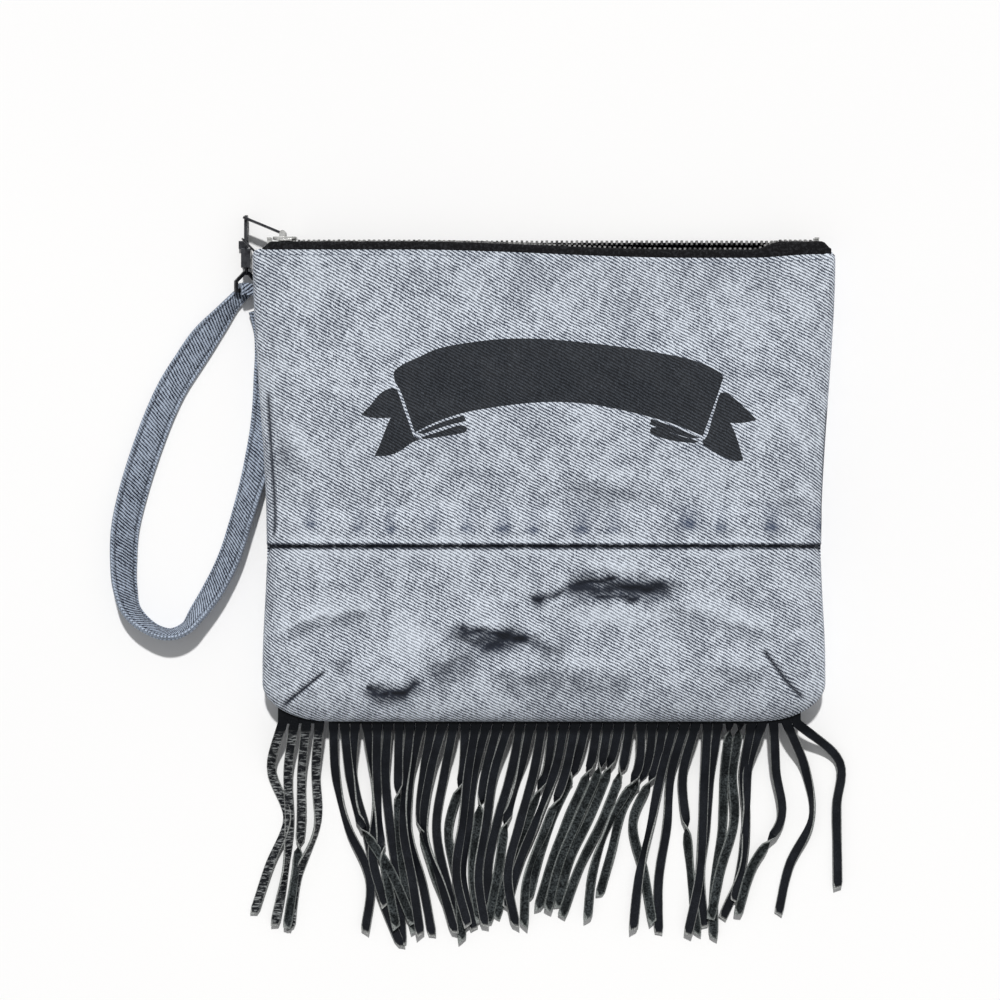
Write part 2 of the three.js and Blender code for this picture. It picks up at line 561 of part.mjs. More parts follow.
add("clasp_hook", inHook(hookSolid), COLOURS.gunmetal);

// Lever: the sprung gate that closes the hook, with a thumb lug at its side
const leverTip = HOOK.long - H - HOOK.nose - GAP;
const leverBar = block([-LEVER.thick / 2, LEVER.pivotY, -H + LEVER.inset], [LEVER.thick / 2, leverTip, -H + HOOK.limb]);
const leverLug = block(
  [-LEVER.lugReach, HOOK.bodyLong + LEVER.lugFrom, -H + LEVER.lugInset],
  [0, HOOK.bodyLong + LEVER.lugTo, -H + HOOK.limb - LEVER.inset],
);
const leverRoot = pinRod(LEVER.root, LEVER.thick / 2, SIDES.rod);
const lever = cut(joined([leverBar, leverLug, leverRoot]), pinRod(PIN.radius + GAP / 2, LEVER.thick));
add("clasp_lever", inHook(lever), COLOURS.gunmetal);

// A small torsion coil beside the lever, round its pin
const coilCurve = new THREE.CatmullRomCurve3(
  spread(0, SPRING.turns, SPRING.turns * SPRING.points).map((turn) => {
    const a = 2 * Math.PI * turn;
    const across = LEVER.thick / 2 + GAP + SPRING.wire + turn * SPRING.step;
    return V(across, pinAt.y + SPRING.radius * Math.cos(a), pinAt.z + SPRING.radius * Math.sin(a));
  }),
);
const wireSection = new THREE.Shape();
wireSection.absarc(0, 0, SPRING.wire, 0, 2 * Math.PI, false);
const coil = new THREE.ExtrudeGeometry(wireSection, {
  extrudePath: coilCurve, steps: SPRING.turns * SPRING.sections, bevelEnabled: false, curveSegments: CURVE.wire,
});
add("clasp_spring", inHook(coil), COLOURS.gunmetal);
add("clasp_pin", inHook(pinRod(PIN.radius, HOOK.bodyThick / 2)), COLOURS.gunmetal);

// Swivel: a headed post and the frame that the strap folds round
const frameShape = new THREE.Shape();
const eyeHalf = EYE.wide / 2;
const eyeTop = -HOOK.eyeDrop;
frameShape.moveTo(-EYE.neck, eyeTop);
frameShape.lineTo(-eyeHalf, eyeTop - EYE.long * EYE.shoulder);
frameShape.lineTo(-eyeHalf, eyeTop - EYE.long);
frameShape.lineTo(eyeHalf, eyeTop - EYE.long);
frameShape.lineTo(eyeHalf, eyeTop - EYE.long * EYE.shoulder);
frameShape.lineTo(EYE.neck, eyeTop);
const frameHole = new THREE.Path();
const holeHalf = eyeHalf - EYE.bar;
frameHole.moveTo(-EYE.holeNeck, eyeTop - EYE.bar);
frameHole.lineTo(EYE.holeNeck, eyeTop - EYE.bar);
frameHole.lineTo(holeHalf, eyeTop - EYE.long * EYE.holeShoulder);
frameHole.lineTo(holeHalf, eyeTop - EYE.long + EYE.bar);
frameHole.lineTo(-holeHalf, eyeTop - EYE.long + EYE.bar);
frameHole.lineTo(-holeHalf, eyeTop - EYE.long * EYE.holeShoulder);
frameShape.holes.push(frameHole);
const eyeTilt = THREE.MathUtils.degToRad(EYE.tilt);
const eyeFrame = slabX(frameShape, EYE.thick).rotateY(-eyeTilt);
const headBottom = HOOK.base + GAP;
const postTop = headBottom + SINK;
const postFoot = eyeTop - EYE.bar / 2;
const post = new THREE.CylinderGeometry(POST.radius, POST.radius, postTop - postFoot, SIDES.rod)
  .translate(0, (postTop + postFoot) / 2, 0);
const head = new THREE.CylinderGeometry(POST.head, POST.head, POST.headThick, SIDES.rod)
  .translate(0, headBottom + POST.headThick / 2, 0);
add("clasp_swivel", inHook(joined([eyeFrame, post, head])), COLOURS.gunmetal);

// Strap: one band folded over the frame's bar, its far end sewn against the fold
const barCentre = V(hookX, hookY + eyeTop - EYE.long + EYE.bar / 2, HOOK.axisZ);
const barAcross = V(-Math.sin(eyeTilt), 0, Math.cos(eyeTilt));
const barOut = V(Math.cos(eyeTilt), 0, Math.sin(eyeTilt));
const foldRadius = EYE.bar * FOLD.barShare + GAP + STRAP.thick / 2;
const strapStations = [];
const foldAt = (angle, drop = 0) => ({
  centre: barCentre.clone()
    .addScaledVector(barOut, Math.cos(angle) * foldRadius)
    .add(V(0, Math.sin(angle) * foldRadius - drop, 0)),
  across: barAcross.clone(),
  width: STRAP.foldWidth,
});
strapStations.push(foldAt(0, FOLD.end));
for (let i = 0; i <= FOLD.steps; i++) strapStations.push(foldAt((Math.PI * i) / FOLD.steps));
const routeBottom = Math.min(...STRAP_ROUTE.map((p) => p[1]));
const routeTop = Math.max(...STRAP_ROUTE.map((p) => p[1]));
const endShift = V(barCentre.x - STRAP_START.x, barCentre.y - STRAP_START.y, 0);
const routePoints = STRAP_ROUTE.map(([x, y]) =>
  V(x, y, 0).addScaledVector(endShift, (y - routeBottom) / (routeTop - routeBottom)));
const first = strapStations[strapStations.length - 1].centre;
routePoints.unshift(V(first.x, first.y, 0));
const strapCurve = new THREE.CatmullRomCurve3(routePoints, false, "centripetal");
const strapLength = strapCurve.getLength();
const tilts = [FOLD.tilt, ...STRAP_ROUTE.map((p) => p[2])];
const strapSteps = Math.round(strapLength / STRAP.step);
for (let i = 1; i <= strapSteps; i++) {
  const t = i / strapSteps;
  const u = strapCurve.getUtoTmapping(t);
  const centre = strapCurve.getPoint(u);
  const along = strapCurve.getTangent(u);
  const at = u * (tilts.length - 1);
  const k = Math.min(tilts.length - 2, Math.floor(at));
  const tilt = THREE.MathUtils.degToRad(lerp(tilts[k], tilts[k + 1], at - k));
  const outward = V(along.y, -along.x, 0).normalize();
  const near = Math.min(t, 1 - t) * strapLength;
  const width = lerp(STRAP.foldWidth, STRAP.width, smooth(near / STRAP.spread));
  centre.z = (Math.abs(Math.sin(tilt)) * width) / 2 + (Math.cos(tilt) * STRAP.thick) / 2 + FLOOR;
  strapStations.push({ centre, across: outward.multiplyScalar(Math.cos(tilt)).add(V(0, 0, Math.sin(tilt))), width });
}
add("wrist_strap", band(strapStations, STRAP.thick), COLOURS.strapDenim);

// Fringe: strands cut from a strip that is sewn into the bottom seam
function strand([x, fall, ...drift], order) {
  const path = [V(x, FRINGE.header, POUCH.seamZ), V(x, FRINGE.rootY, POUCH.seamZ)];
  drift.forEach((d, i) => path.push(V(x + d, FRINGE.rootY - (fall * (i + 1)) / drift.length, 0)));
  const curve = new THREE.CatmullRomCurve3(path.slice(1), false, "centripetal");
  const stations = [{ centre: path[0], across: V(1, 0, 0), width: FRINGE.strand }];
  const rest = FLOOR + FRINGE.thick / 2 + (order % FRINGE.layers) * FRINGE.layer;
  for (let i = 0; i <= FRINGE.steps; i++) {
    const t = i / FRINGE.steps;
    const centre = curve.getPointAt(t);
    const along = curve.getTangentAt(t);
    centre.z = lerp(POUCH.seamZ, rest, smooth(t / FRINGE.dropShare));
    stations.push({ centre, across: V(along.y, -along.x, 0).multiplyScalar(-1).normalize(), width: FRINGE.strand });
  }
  return band(stations, FRINGE.thick);
}

function fringe(strands, from, to, offset) {
  const t = FRINGE.thick / 2;
  const header = block([from, FRINGE.rootY, POUCH.seamZ - t], [to, FRINGE.header, POUCH.seamZ + t]);
  return joined([header, ...strands.map((s, i) => strand(s, i + offset))]);
}
const halfStrand = FRINGE.strand / 2;
const leftX = STRANDS_LEFT.map((s) => s[0]);
const mainX = STRANDS.map((s) => s[0]);
const split = (leftX[leftX.length - 1] + mainX[0]) / 2;
add("fringe_left", fringe(STRANDS_LEFT, leftX[0] - halfStrand, split - GAP / 2, 0), COLOURS.leather);
add("fringe_main", fringe(STRANDS, split + GAP / 2, mainX[mainX.length - 1] + halfStrand, 1), COLOURS.leather);

// Banner: thin fields of ink that follow the upper front panel
const proudGrid = upperGrid.map((row) => row.map((p) => p.clone().setZ(p.z + POUCH.denim / 2 + GAP + INK.thick / 2)));
const inkSheet = toSolid(sheet(proudGrid, INK.thick));
function ink(name, draw) {
  const shape = new THREE.Shape();
  draw(shape);
  const prism = new THREE.ExtrudeGeometry(shape, { depth: BANNER.depth, bevelEnabled: false, curveSegments: CURVE.ink });
  add(name, toGeometry(inkSheet.intersect(toSolid(prism))), COLOURS.ink);
}
const B = { ...BANNER, y: POUCH.height - BANNER.drop };
const bx = (t) => B.x + t * B.half;
ink("banner_ribbon", (s) => {
  s.moveTo(bx(-1), B.y - B.sag);
  s.quadraticCurveTo(bx(-B.bend), B.y + B.rise, bx(B.peak), B.y + B.rise);
  s.quadraticCurveTo(bx(B.bend), B.y + B.rise, bx(1), B.y - B.sag);
  s.lineTo(bx(B.lower), B.y - B.tall - B.sag);
  s.quadraticCurveTo(bx(B.lowerBend), B.y - B.tall + B.rise, bx(0), B.y - B.tall + B.rise);
  s.quadraticCurveTo(bx(-B.lowerBend), B.y - B.tall + B.rise, bx(-B.lower), B.y - B.tall - B.sag);
});
for (const side of [-1, 1])
  ink(side < 0 ? "banner_tail_left" : "banner_tail_right", (s) => {
    const x = (t) => B.x + side * t;
    const points = TAIL.map(([past, below]) => [B.half + past, -B.sag - below]);
    const ordered = side < 0 ? points : points.slice().reverse();
    ordered.forEach(([a, b], i) => (i ? s.lineTo(x(a), B.y + b) : s.moveTo(x(a), B.y + b)));
    s.closePath();
  });

// The part's origin is the middle of its box, at the table
const box = new THREE.Box3().setFromObject(root);
const middle = box.getCenter(V(0, 0, 0));
root.position.set(-middle.x, -middle.y, -box.min.z);
const part = new THREE.Group();
part.add(root);

export default part;
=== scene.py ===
"""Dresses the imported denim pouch: washed twill, black zip, printed banner, leather fringe and wrist strap."""

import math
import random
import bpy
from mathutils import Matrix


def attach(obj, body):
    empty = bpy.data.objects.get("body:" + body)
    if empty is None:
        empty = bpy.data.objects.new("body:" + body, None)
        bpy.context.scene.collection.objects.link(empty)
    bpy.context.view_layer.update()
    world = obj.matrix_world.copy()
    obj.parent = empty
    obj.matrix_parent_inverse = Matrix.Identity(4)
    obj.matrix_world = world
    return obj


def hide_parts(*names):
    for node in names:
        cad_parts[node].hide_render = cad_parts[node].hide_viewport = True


bl_info = {
    "name": "Fringed denim pouch",
    "version": (1, 0, 0),
    "blender": (4, 5, 0),
    "location": "View3D > Sidebar > Pouch",
    "description": "Builds the cloth, leather and print of a zip pouch round its packed frame",
    "category": "Object",
}

import bmesh
import bpy
import numpy as np
from mathutils import Vector, noise

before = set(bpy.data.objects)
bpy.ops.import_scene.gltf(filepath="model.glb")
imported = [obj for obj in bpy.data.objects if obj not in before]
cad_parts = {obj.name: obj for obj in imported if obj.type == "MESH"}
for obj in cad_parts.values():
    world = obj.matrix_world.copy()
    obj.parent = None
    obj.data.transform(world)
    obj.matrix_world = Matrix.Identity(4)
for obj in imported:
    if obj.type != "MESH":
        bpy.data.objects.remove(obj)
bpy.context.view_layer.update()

MM = 0.001
# Place of the pouch's own origin (middle of its bottom seam) in the part's frame, in millimetres
ORIGIN = (30.1616, -61.4779)
# The photograph's scale, and the pixel that is the pouch's origin
PIXEL_MM = 0.45
PHOTO_ORIGIN = (544, 720)
GAP = 0.3

# The pouch's shell, as in the part's source
HEIGHT = 211.0
HALF_TOP, HALF_WAIST, HALF_HIP = 130.5, 124.0, 126.0
WAIST_Y, HIP_Y = 77.0, 24.0
CORNER_RUN, CORNER_RISE, TOP_CORNER = 30.0, 17.0, 2.0
DENIM_THICK = 1.2
SEAM_Z = 11.5
CROWN, TOP_RISE = 11.0, 6.8
SIDE_ROLL, UNDER_ROLL, BOTTOM_ROLL = 26.0, 48.0, 28.0
TOP_ROLL, TOP_ROLL_RUN = 3.0, 48.0
ZIP_FACING, UNDER_LIFT_RUN = 9.0, 46.0
LAP_Y, LAP_WIDTH, LAP_EASE = 79.0, 9.0, 9.0
LAP_TOP = LAP_Y + LAP_WIDTH
LAP_STEP = DENIM_THICK + GAP
STRAND_THICK = 1.1

# The open zip's sag: depth, where it starts, its run, how much it rises again and where, and its lowest reach
SAG, SAG_FROM, SAG_RUN = 3.7, -62, 128
SAG_RISE, SAG_RISE_FROM, SAG_RISE_RUN, SAG_LOW = 1.6, 92, 30, 168
RIM_FADE = 7

# Zip
ZIP_Y = HEIGHT + 3.7
TAPE_THICK = 0.7
# The tape's section: distance from the middle of the zip, and height against the teeth
TAPE_PROFILE = [(5.2, -12.6), (5.2, -6), (5.2, -1.7), (5.0, -0.7), (4.5, -0.15), (3.8, 0), (3.2, 0), (2.6, 0)]
# Height of tape that is free to move, its run past the zip's end, and where both tapes come together
TAPE_FREE, TAPE_TUCK, FOLLOW_END, FOLLOW_RUN = 9, 4.0, 94, 13
TAPE_LEFT, TAPE_RIGHT = -124.7, 124.7
TOOTH_PITCH, TOOTH_FIRST, TOOTH_COUNT = 2.25, -110.0, 103
TOOTH_WIDE, TOOTH_TALL, TOOTH_REACH, TOOTH_GAP = 1.15, 2.3, 2.7, 0.95
TOOTH_NECK, TOOTH_NOSE, TOOTH_EDGE = 0.18, 0.35, 0.14


def place(x, y, z):
    """A point of the pouch, in millimetres, as a point of the part's frame in metres."""
    return Vector(((x + ORIGIN[0]) * MM, (y + ORIGIN[1]) * MM, z * MM))


def traced(points):
    """Points read off the photograph as points of the pouch, in millimetres."""
    return [((px - PHOTO_ORIGIN[0]) * PIXEL_MM, (PHOTO_ORIGIN[1] - py) * PIXEL_MM) for px, py in points]


def smooth(t):
    c = np.clip(t, 0, 1)
    return c * c * (3 - 2 * c)


def lerp(a, b, t):
    return a + (b - a) * t


def bell(distance, width, power=2):
    """1 at no distance, and fading over a width; a higher power holds on longer and then drops faster."""
    return np.exp(-((distance / width) ** power))


def roll(distance, width):
    """Quarter of an ellipse: 0 at an edge, 1 from the roll's width inwards."""
    t = np.clip(distance / width, 0, 1)
    return np.sqrt(1 - (1 - t) ** 2)


def half_width(y):
    """Half the pouch's width at a height."""
    upper = lerp(HALF_WAIST, HALF_TOP, smooth((y - WAIST_Y) / (HEIGHT - WAIST_Y)))
    lower = lerp(HALF_HIP, HALF_WAIST, smooth((y - HIP_Y) / (WAIST_Y - HIP_Y)))
    half = np.where(y > WAIST_Y, upper, lower)
    half = half - np.where(y < CORNER_RISE, CORNER_RUN * (1 - roll(y, CORNER_RISE)), 0)
    above = np.clip(y - (HEIGHT - TOP_CORNER), 0, TOP_CORNER)
    return half - (TOP_CORNER - np.sqrt(TOP_CORNER**2 - above**2))


def rim_gap(y):
    """How far each panel's rim stands off the middle of the seam."""
    return lerp(STRAND_THICK / 2 + 2 * GAP, GAP, smooth((y - CORNER_RISE / 2) / CORNER_RISE))


def side_roll(y, low):
    """Width of the roll at the side seams, tight near the zip."""
    return lerp(TOP_ROLL, low, smooth((HEIGHT - ZIP_FACING - y) / TOP_ROLL_RUN))


def front_mid(x, y):
    """Middle of the front denim above the table."""
    full = lerp(CROWN, TOP_RISE, smooth((y - HEIGHT * 0.6) / (HEIGHT * 0.4 - ZIP_FACING)))
    inset = half_width(y) - np.abs(x)
    gap = rim_gap(y)
    return SEAM_Z + gap + (full - gap) * roll(inset, side_roll(y, SIDE_ROLL)) * roll(y, BOTTOM_ROLL)


def back_mid(x, y):
    """Middle of the back denim above the table."""
    lift = smooth((y - (HEIGHT - UNDER_LIFT_RUN)) / (UNDER_LIFT_RUN - ZIP_FACING))
    full = lerp(SEAM_Z - DENIM_THICK / 2, TOP_RISE, lift)
    inset = half_width(y) - np.abs(x)
    gap = rim_gap(y)
    side = np.where(x < 0, UNDER_ROLL, SIDE_ROLL)
    return SEAM_Z - gap - (full - gap) * roll(inset, side_roll(y, side)) * roll(y, BOTTOM_ROLL)


# Folds of the front: the photograph's line, crest height, softness above it and steepness below it, in mm
FOLDS = [
    ([(440, 621), (462, 629), (480, 633), (500, 636), (520, 635), (545, 625)], 2.1, 12, 3.0),
    ([(356, 681), (372, 688), (383, 694), (394, 692), (406, 687), (428, 682)], 1.7, 9, 2.4),
    ([(424, 684), (440, 672), (458, 664), (484, 655)], 0.9, 9, 3.4),
    ([(560, 572), (590, 574), (618, 580), (652, 584), (690, 581)], 1.9, 12, 2.2),
    ([(690, 600), (648, 603), (600, 604), (541, 603)], 0.9, 9, 2.5),
    ([(264, 634), (285, 629), (310, 618), (340, 611), (390, 606)], 0.5, 4, 3.5),
    ([(646, 600), (690, 607), (735, 620), (784, 634)], 0.55, 5, 4.0),
    ([(700, 655), (740, 668), (780, 672)], 0.5, 8, 5),
    ([(330, 666), (340, 657), (352, 648)], 0.5, 4, 4),
    ([(560, 470), (610, 486), (655, 480)], 0.6, 14, 6),
    ([(275, 430), (300, 452), (318, 482)], 0.6, 10, 6),
    ([(780, 470), (800, 500), (815, 520)], 0.6, 9, 6),
    ([(480, 672), (560, 668), (640, 676)], 0.7, 12, 6),
]
# Creased hollows painted dark as shade: the line, half its width in mm, and how dark
SHADE_LINES = [
    ([(563, 580), (591, 581), (606, 578), (626, 574)], 1.7, 2.3),
    ([(600, 581), (630, 586), (655, 587), (682, 586)], 3.6, 1.9),
    ([(524, 595), (541, 598), (555, 594), (572, 588)], 1.3, 1.9),
    ([(574, 593), (600, 596), (625, 597), (652, 597)], 1.7, 1.9),
    ([(556, 586), (590, 588), (625, 588)], 3.6, 1.6),
    ([(448, 624), (470, 630), (490, 632), (512, 634), (534, 635)], 1.9, 2.2),
    ([(488, 635), (512, 636), (534, 638)], 2.8, 2.5),
    ([(462, 636), (482, 641), (500, 645), (515, 645)], 3.2, 1.5),
    ([(526, 640), (548, 650), (570, 657)], 3.6, 1.0),
    ([(364, 684), (380, 692), (394, 695)], 1.9, 2.3),
    ([(384, 695), (400, 690), (414, 686), (428, 681)], 1.9, 2.3),
    ([(370, 686), (386, 690), (404, 688)], 3.2, 1.4),
    ([(422, 686), (440, 670), (466, 655), (482, 647)], 4.5, 0.9),
    ([(428, 669), (448, 664), (482, 659)], 3.2, 0.9),
]
# Where the denim is painted pale, partly wear and partly painted highlight on lit ridges: the line, half its
# width in mm, and how pale
WEAR_AND_HIGHLIGHT_LINES = [
    ([(264, 633), (285, 628), (310, 617), (340, 610), (390, 605)], 1.5, 1.1),
    ([(646, 599), (690, 606), (735, 619), (784, 633)], 1.8, 0.9),
    ([(392, 612), (408, 640), (404, 668), (380, 674)], 7.0, 0.7),
    ([(540, 606), (600, 612), (660, 618)], 6.0, 0.5),
    ([(278, 540), (420, 540), (560, 541), (820, 541)], 1.3, 0.7),
    ([(278, 552), (420, 552), (560, 553), (820, 553)], 1.5, 0.6),
]
# Seams sewn into the front
DARTS = [
    [(281, 708), (292, 698), (306, 687), (331, 666)],
    [(806, 702), (784, 680), (757, 643)],
]
SIDE_LINES = [
    [(270, 385), (272, 430), (276, 490), (277.5, 520), (276, 545)],
    [(826, 400), (822, 470), (819.5, 543)],
]
# Places where the dye has stayed, above the lapped seam: the photograph's x and y, radius in mm, and how much
DYE_SPOTS = [
    (313, 524, 3.4, 0.9), (361, 528, 2.6, 0.6), (392, 529, 2.4, 1.0), (432, 528, 2.6, 0.7),
    (467, 528, 3.0, 1.0),
    (503, 528, 3.2, 1.0), (533, 530, 2.8, 0.9), (580, 529, 3.4, 0.9), (613, 529, 2.8, 0.7),
    (686, 524, 4.2, 1.0),
    (718, 527, 3.0, 0.9), (769, 527, 3.4, 1.0), (819, 526, 2.8, 0.9),
]
# Slack of the cloth all over, and what is added below the lapped seam: height and size in mm, and seed
SLACK = [(0.55, 38, 3.1), (0.22, 15, 8.4)]
LOWER_SLACK = [(0.8, 24, 5.7), (0.22, 9, 2.2)]
LOWER_EASE = 40
# How far marks wander off their lines, the size of that noise, and its seeds in x and y
WANDER, WANDER_SIZE, WANDER_SEEDS = 1.9, 6, (12.3, 21.9)
# How dark the painted shade of each kind of mark is, and how pale the painted highlight on the cloth above a
# fold is
FOLD_DARK, LINE_DARK, DART_DARK, SIDE_DARK, LAP_DARK, FOLD_HIGHLIGHT = 1.1, 1.15, 1.6, 1.3, 2.2, 0.8
# A crest as high as this casts its full painted shade; behind it the shade is narrow, and the painted highlight
# band lies farther up
FULL_CREST, BEHIND_WIDTH, HIGHLIGHT_AT, HIGHLIGHT_WIDTH = 2.4, 1.4, 5, 4
# Depth and half width of a dart's groove, the puffed cloth beside it, and a side seam's groove
DART_DEPTH, DART_WIDTH, PUFF_HIGH, PUFF_AT, PUFF_WIDTH = 0.7, 0.8, 0.45, 2.4, 1.5
SIDE_DEPTH, SIDE_WIDTH = 0.35, 0.7
# The painted shadow line under the lap: how far below the edge, how much it wavers, and its half width
LAP_LINE_DROP, LAP_LINE_WAVER, LAP_LINE_WIDTH = 0.55, 0.3, 0.74
# A dye spot's streak up the cloth: strength, width as a share of the spot's radius, ease-in and length
STREAK, STREAK_WIDTH, STREAK_EASE, STREAK_LENGTH = 0.42, 1.1, 3, 9
# Ends of every line fade over this length, or this share of a short line
TAPER, TAPER_SHARE = 14.0, 0.4


def near_line(x, y, points):
    """Distance to a line, the side of it that a point is on, and a fade towards either end."""
    best = np.full(x.shape, 1e9)
    side = np.zeros(x.shape)
    along = np.zeros(x.shape)
    total = 0.0
    for (ax, ay), (bx, by) in zip(points, points[1:]):
        dx, dy = bx - ax, by - ay
        length = math.hypot(dx, dy)
        t = np.clip(((x - ax) * dx + (y - ay) * dy) / length**2, 0, 1)
        d = np.hypot(x - ax - t * dx, y - ay - t * dy)
        closer = d < best
        best = np.where(closer, d, best)
        side = np.where(closer, np.sign(dx * (y - ay) - dy * (x - ax)), side)
        along = np.where(closer, total + t * length, along)
        total += length
    taper = min(TAPER, total * TAPER_SHARE)
    return best, side, smooth(along / taper) * smooth((total - along) / taper)


def noise_field(x, y, scale, seed):
    """Smooth seeded noise, about -1 to 1, over the cloth."""
    flat = np.array([noise.noise(Vector((a / scale, b / scale, seed))) for a, b in zip(x.ravel(), y.ravel())])
    return flat.reshape(x.shape)


def layered(x, y, layers):
    return sum(high * noise_field(x, y, size, seed) for high, size, seed in layers)


def relief(x, y):
    """Folds, seams and slack of the front: height to add, and how much painted shade, wear with painted
    highlight, and dye each point has.
    """
    strength = bpy.context.scene.pouch_denim.crease
    lower = smooth((LAP_Y + LOWER_EASE / 2 - y) / LOWER_EASE)
    height = layered(x, y, SLACK) + lower * layered(x, y, LOWER_SLACK)
    # painted_shade is shade painted into the colour: under fold crests, along creases, in dart and side seam
    # grooves, and under the lap edge
    painted_shade = wear_and_highlight = dye = np.zeros(x.shape)
    bent_x, bent_y = (at + WANDER * noise_field(x, y, WANDER_SIZE, s) for at, s in zip((x, y), WANDER_SEEDS))
    ragged = np.clip(0.8 + 0.75 * noise_field(x * 0.5, y, 2.6, 4.4), 0, 1)
    for line, crest, soft, steep in FOLDS:
        d, side, fade = near_line(bent_x, bent_y, traced(line))
        height = height + crest * strength * fade * np.where(side > 0, bell(d, soft, 1.6), bell(d, steep))
        # Painted shade below each fold's crest, and a narrow band of it behind the crest
        below_crest = bell(d - 0.8 * steep, 0.9 * steep) + 0.35 * bell(d, 3 * steep)
        mark = ragged * np.where(side > 0, 0.6 * bell(d, BEHIND_WIDTH), below_crest)
        painted_shade = np.maximum(painted_shade, FOLD_DARK * fade * min(1.0, crest / FULL_CREST) * mark)
        # Painted highlight on the cloth above each crest, which faces the light
        lit_side_highlight = np.where(side > 0, bell(d - HIGHLIGHT_AT, HIGHLIGHT_WIDTH), 0)
        wear_and_highlight = np.maximum(wear_and_highlight, FOLD_HIGHLIGHT * fade * min(1.0, crest) * lit_side_highlight)
    # Painted shade along the creased hollows
    for line, half, amount in SHADE_LINES:
        d, side, fade = near_line(bent_x, bent_y, traced(line))
        hollow = LINE_DARK * amount * smooth(1.5 * fade) * bell(d, half, 1.2)
        painted_shade = np.maximum(painted_shade, ragged * hollow)
        height = height - 0.3 * hollow
    # Pale lines: wear, and painted highlight on lit ridges
    for line, half, amount in WEAR_AND_HIGHLIGHT_LINES:
        d, side, fade = near_line(bent_x, bent_y, traced(line))
        wear_and_highlight = np.maximum(wear_and_highlight, amount * fade * bell(d, half))
    # Darts and side seams: grooves in the cloth, with shade painted dark along them
    for line in DARTS:
        d, side, fade = near_line(x, y, traced(line))
        groove = bell(d, DART_WIDTH) * smooth(fade * 3)
        height = height - DART_DEPTH * groove + PUFF_HIGH * bell(d - PUFF_AT, PUFF_WIDTH) * fade
        painted_shade = np.maximum(painted_shade, DART_DARK * groove)
    for line in SIDE_LINES:
        d, side, fade = near_line(x, y, traced(line))
        groove = bell(d, SIDE_WIDTH) * smooth(fade * 2)
        height = height - SIDE_DEPTH * groove
        painted_shade = np.maximum(painted_shade, SIDE_DARK * groove)
    # Painted shadow under the lap edge of the upper panel
    lap_line = LAP_Y - LAP_LINE_DROP + LAP_LINE_WAVER * noise_field(x, y, 1.6, 7.7)
    painted_shade = np.maximum(painted_shade, LAP_DARK * bell(y - lap_line, LAP_LINE_WIDTH, 4))
    for px, py, radius, amount in DYE_SPOTS:
        (sx, sy), = traced([(px, py)])
        wobble = 1 + 0.35 * noise_field(x, y, 2.4, px * 0.1)
        spot = bell(np.hypot((x - sx) * 0.8, (y - sy) * 1.15), radius * wobble * 0.75)
        streak = bell(x - sx, radius * STREAK_WIDTH) * bell(y - sy, STREAK_LENGTH)
        streak = streak * smooth((y - sy) / STREAK_EASE)
        dye = np.maximum(dye, amount * np.maximum(spot, STREAK * streak))
    return height, painted_shade, wear_and_highlight, dye


def edge_drop(x, y):
    """How far the open side of the zip has dropped towards the fringe, in millimetres."""
    drop = SAG * smooth((x - SAG_FROM) / SAG_RUN) - SAG_RISE * smooth((x - SAG_RISE_FROM) / SAG_RISE_RUN)
    return drop * smooth((y - SAG_LOW) / (HEIGHT - SAG_LOW))


def upper_mid(x, y):
    """Middle of the upper front panel, which stands proud where it laps over the lower one."""
    return front_mid(x, y) + LAP_STEP * (1 - smooth((y - LAP_TOP - GAP) / LAP_EASE))


def rim_fade(x, y):
    """1 over the panel, falling to 0 at its sewn rims, so that relief never opens a seam."""
    inset = half_width(y) - np.abs(x)
    return smooth(inset / RIM_FADE) * smooth(y / RIM_FADE) * smooth((HEIGHT - y) / RIM_FADE)


def select_only(obj):
    bpy.ops.object.select_all(action="DESELECT")
    obj.select_set(True)
    bpy.context.view_layer.objects.active = obj


def new_piece(name, vertices, faces):
    mesh = bpy.data.meshes.new(name)
    mesh.from_pydata([tuple(v) for v in vertices], [], faces)
    mesh.validate()
    piece = bpy.data.objects.new(name, mesh)
    bpy.context.scene.collection.objects.link(piece)
    return piece


def set_attribute(piece, name, values):
    attribute = piece.data.attributes.new(name, "FLOAT", "POINT")
    attribute.data.foreach_set("value", np.asarray(values, np.float32).ravel())


def set_uv(piece, uv):
    """Gives each corner its vertex's place on the flat cloth, in metres."""
    layer = piece.data.uv_layers.new(name="UVMap")
    loops = np.zeros(len(piece.data.loops), np.int32)
    piece.data.loops.foreach_get("vertex_index", loops)
    layer.data.foreach_set("uv", np.asarray(uv, np.float32)[loops].ravel())


def apply_modifier(piece, kind, **settings):
    select_only(piece)
    modifier = piece.modifiers.new(kind.title(), kind)
    for key, value in settings.items():
        setattr(modifier, key, value)
    bpy.ops.object.modifier_apply(modifier=modifier.name)


def dress(piece, body, slot, *materials, node=None, smooth_angle=40):
    """Gives a piece its materials, shading and body, and hides the CAD node that it stands for; the slot is not
    used.
    """
    for material in materials:
        piece.data.materials.append(material)
    select_only(piece)
    bpy.ops.object.shade_smooth_by_angle(angle=math.radians(smooth_angle))
    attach(piece, body)
    if node:
        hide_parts(node)


def face_outwards(piece):
    bm = bmesh.new()
    bm.from_mesh(piece.data)
    bmesh.ops.recalc_face_normals(bm, faces=bm.faces[:])
    bm.to_mesh(piece.data)
    bm.free()


def loft_faces(rows, per):
    """Faces round a band of rings, then its first end and its last."""
    faces = []
    for n in range(rows - 1):
        for k in range(per):
            m = (k + 1) % per
            faces.append((n * per + k, n * per + m, (n + 1) * per + m, (n + 1) * per + k))
    return faces + [tuple(range(per))[::-1], tuple((rows - 1) * per + k for k in range(per))]


def grid_faces(rows, columns, flip=False):
    faces = []
    for r in range(rows - 1):
        for c in range(columns - 1):
            a = r * columns + c
            quad = (a, a + 1, a + columns + 1, a + columns)
            faces.append(quad[::-1] if flip else quad)
    return faces


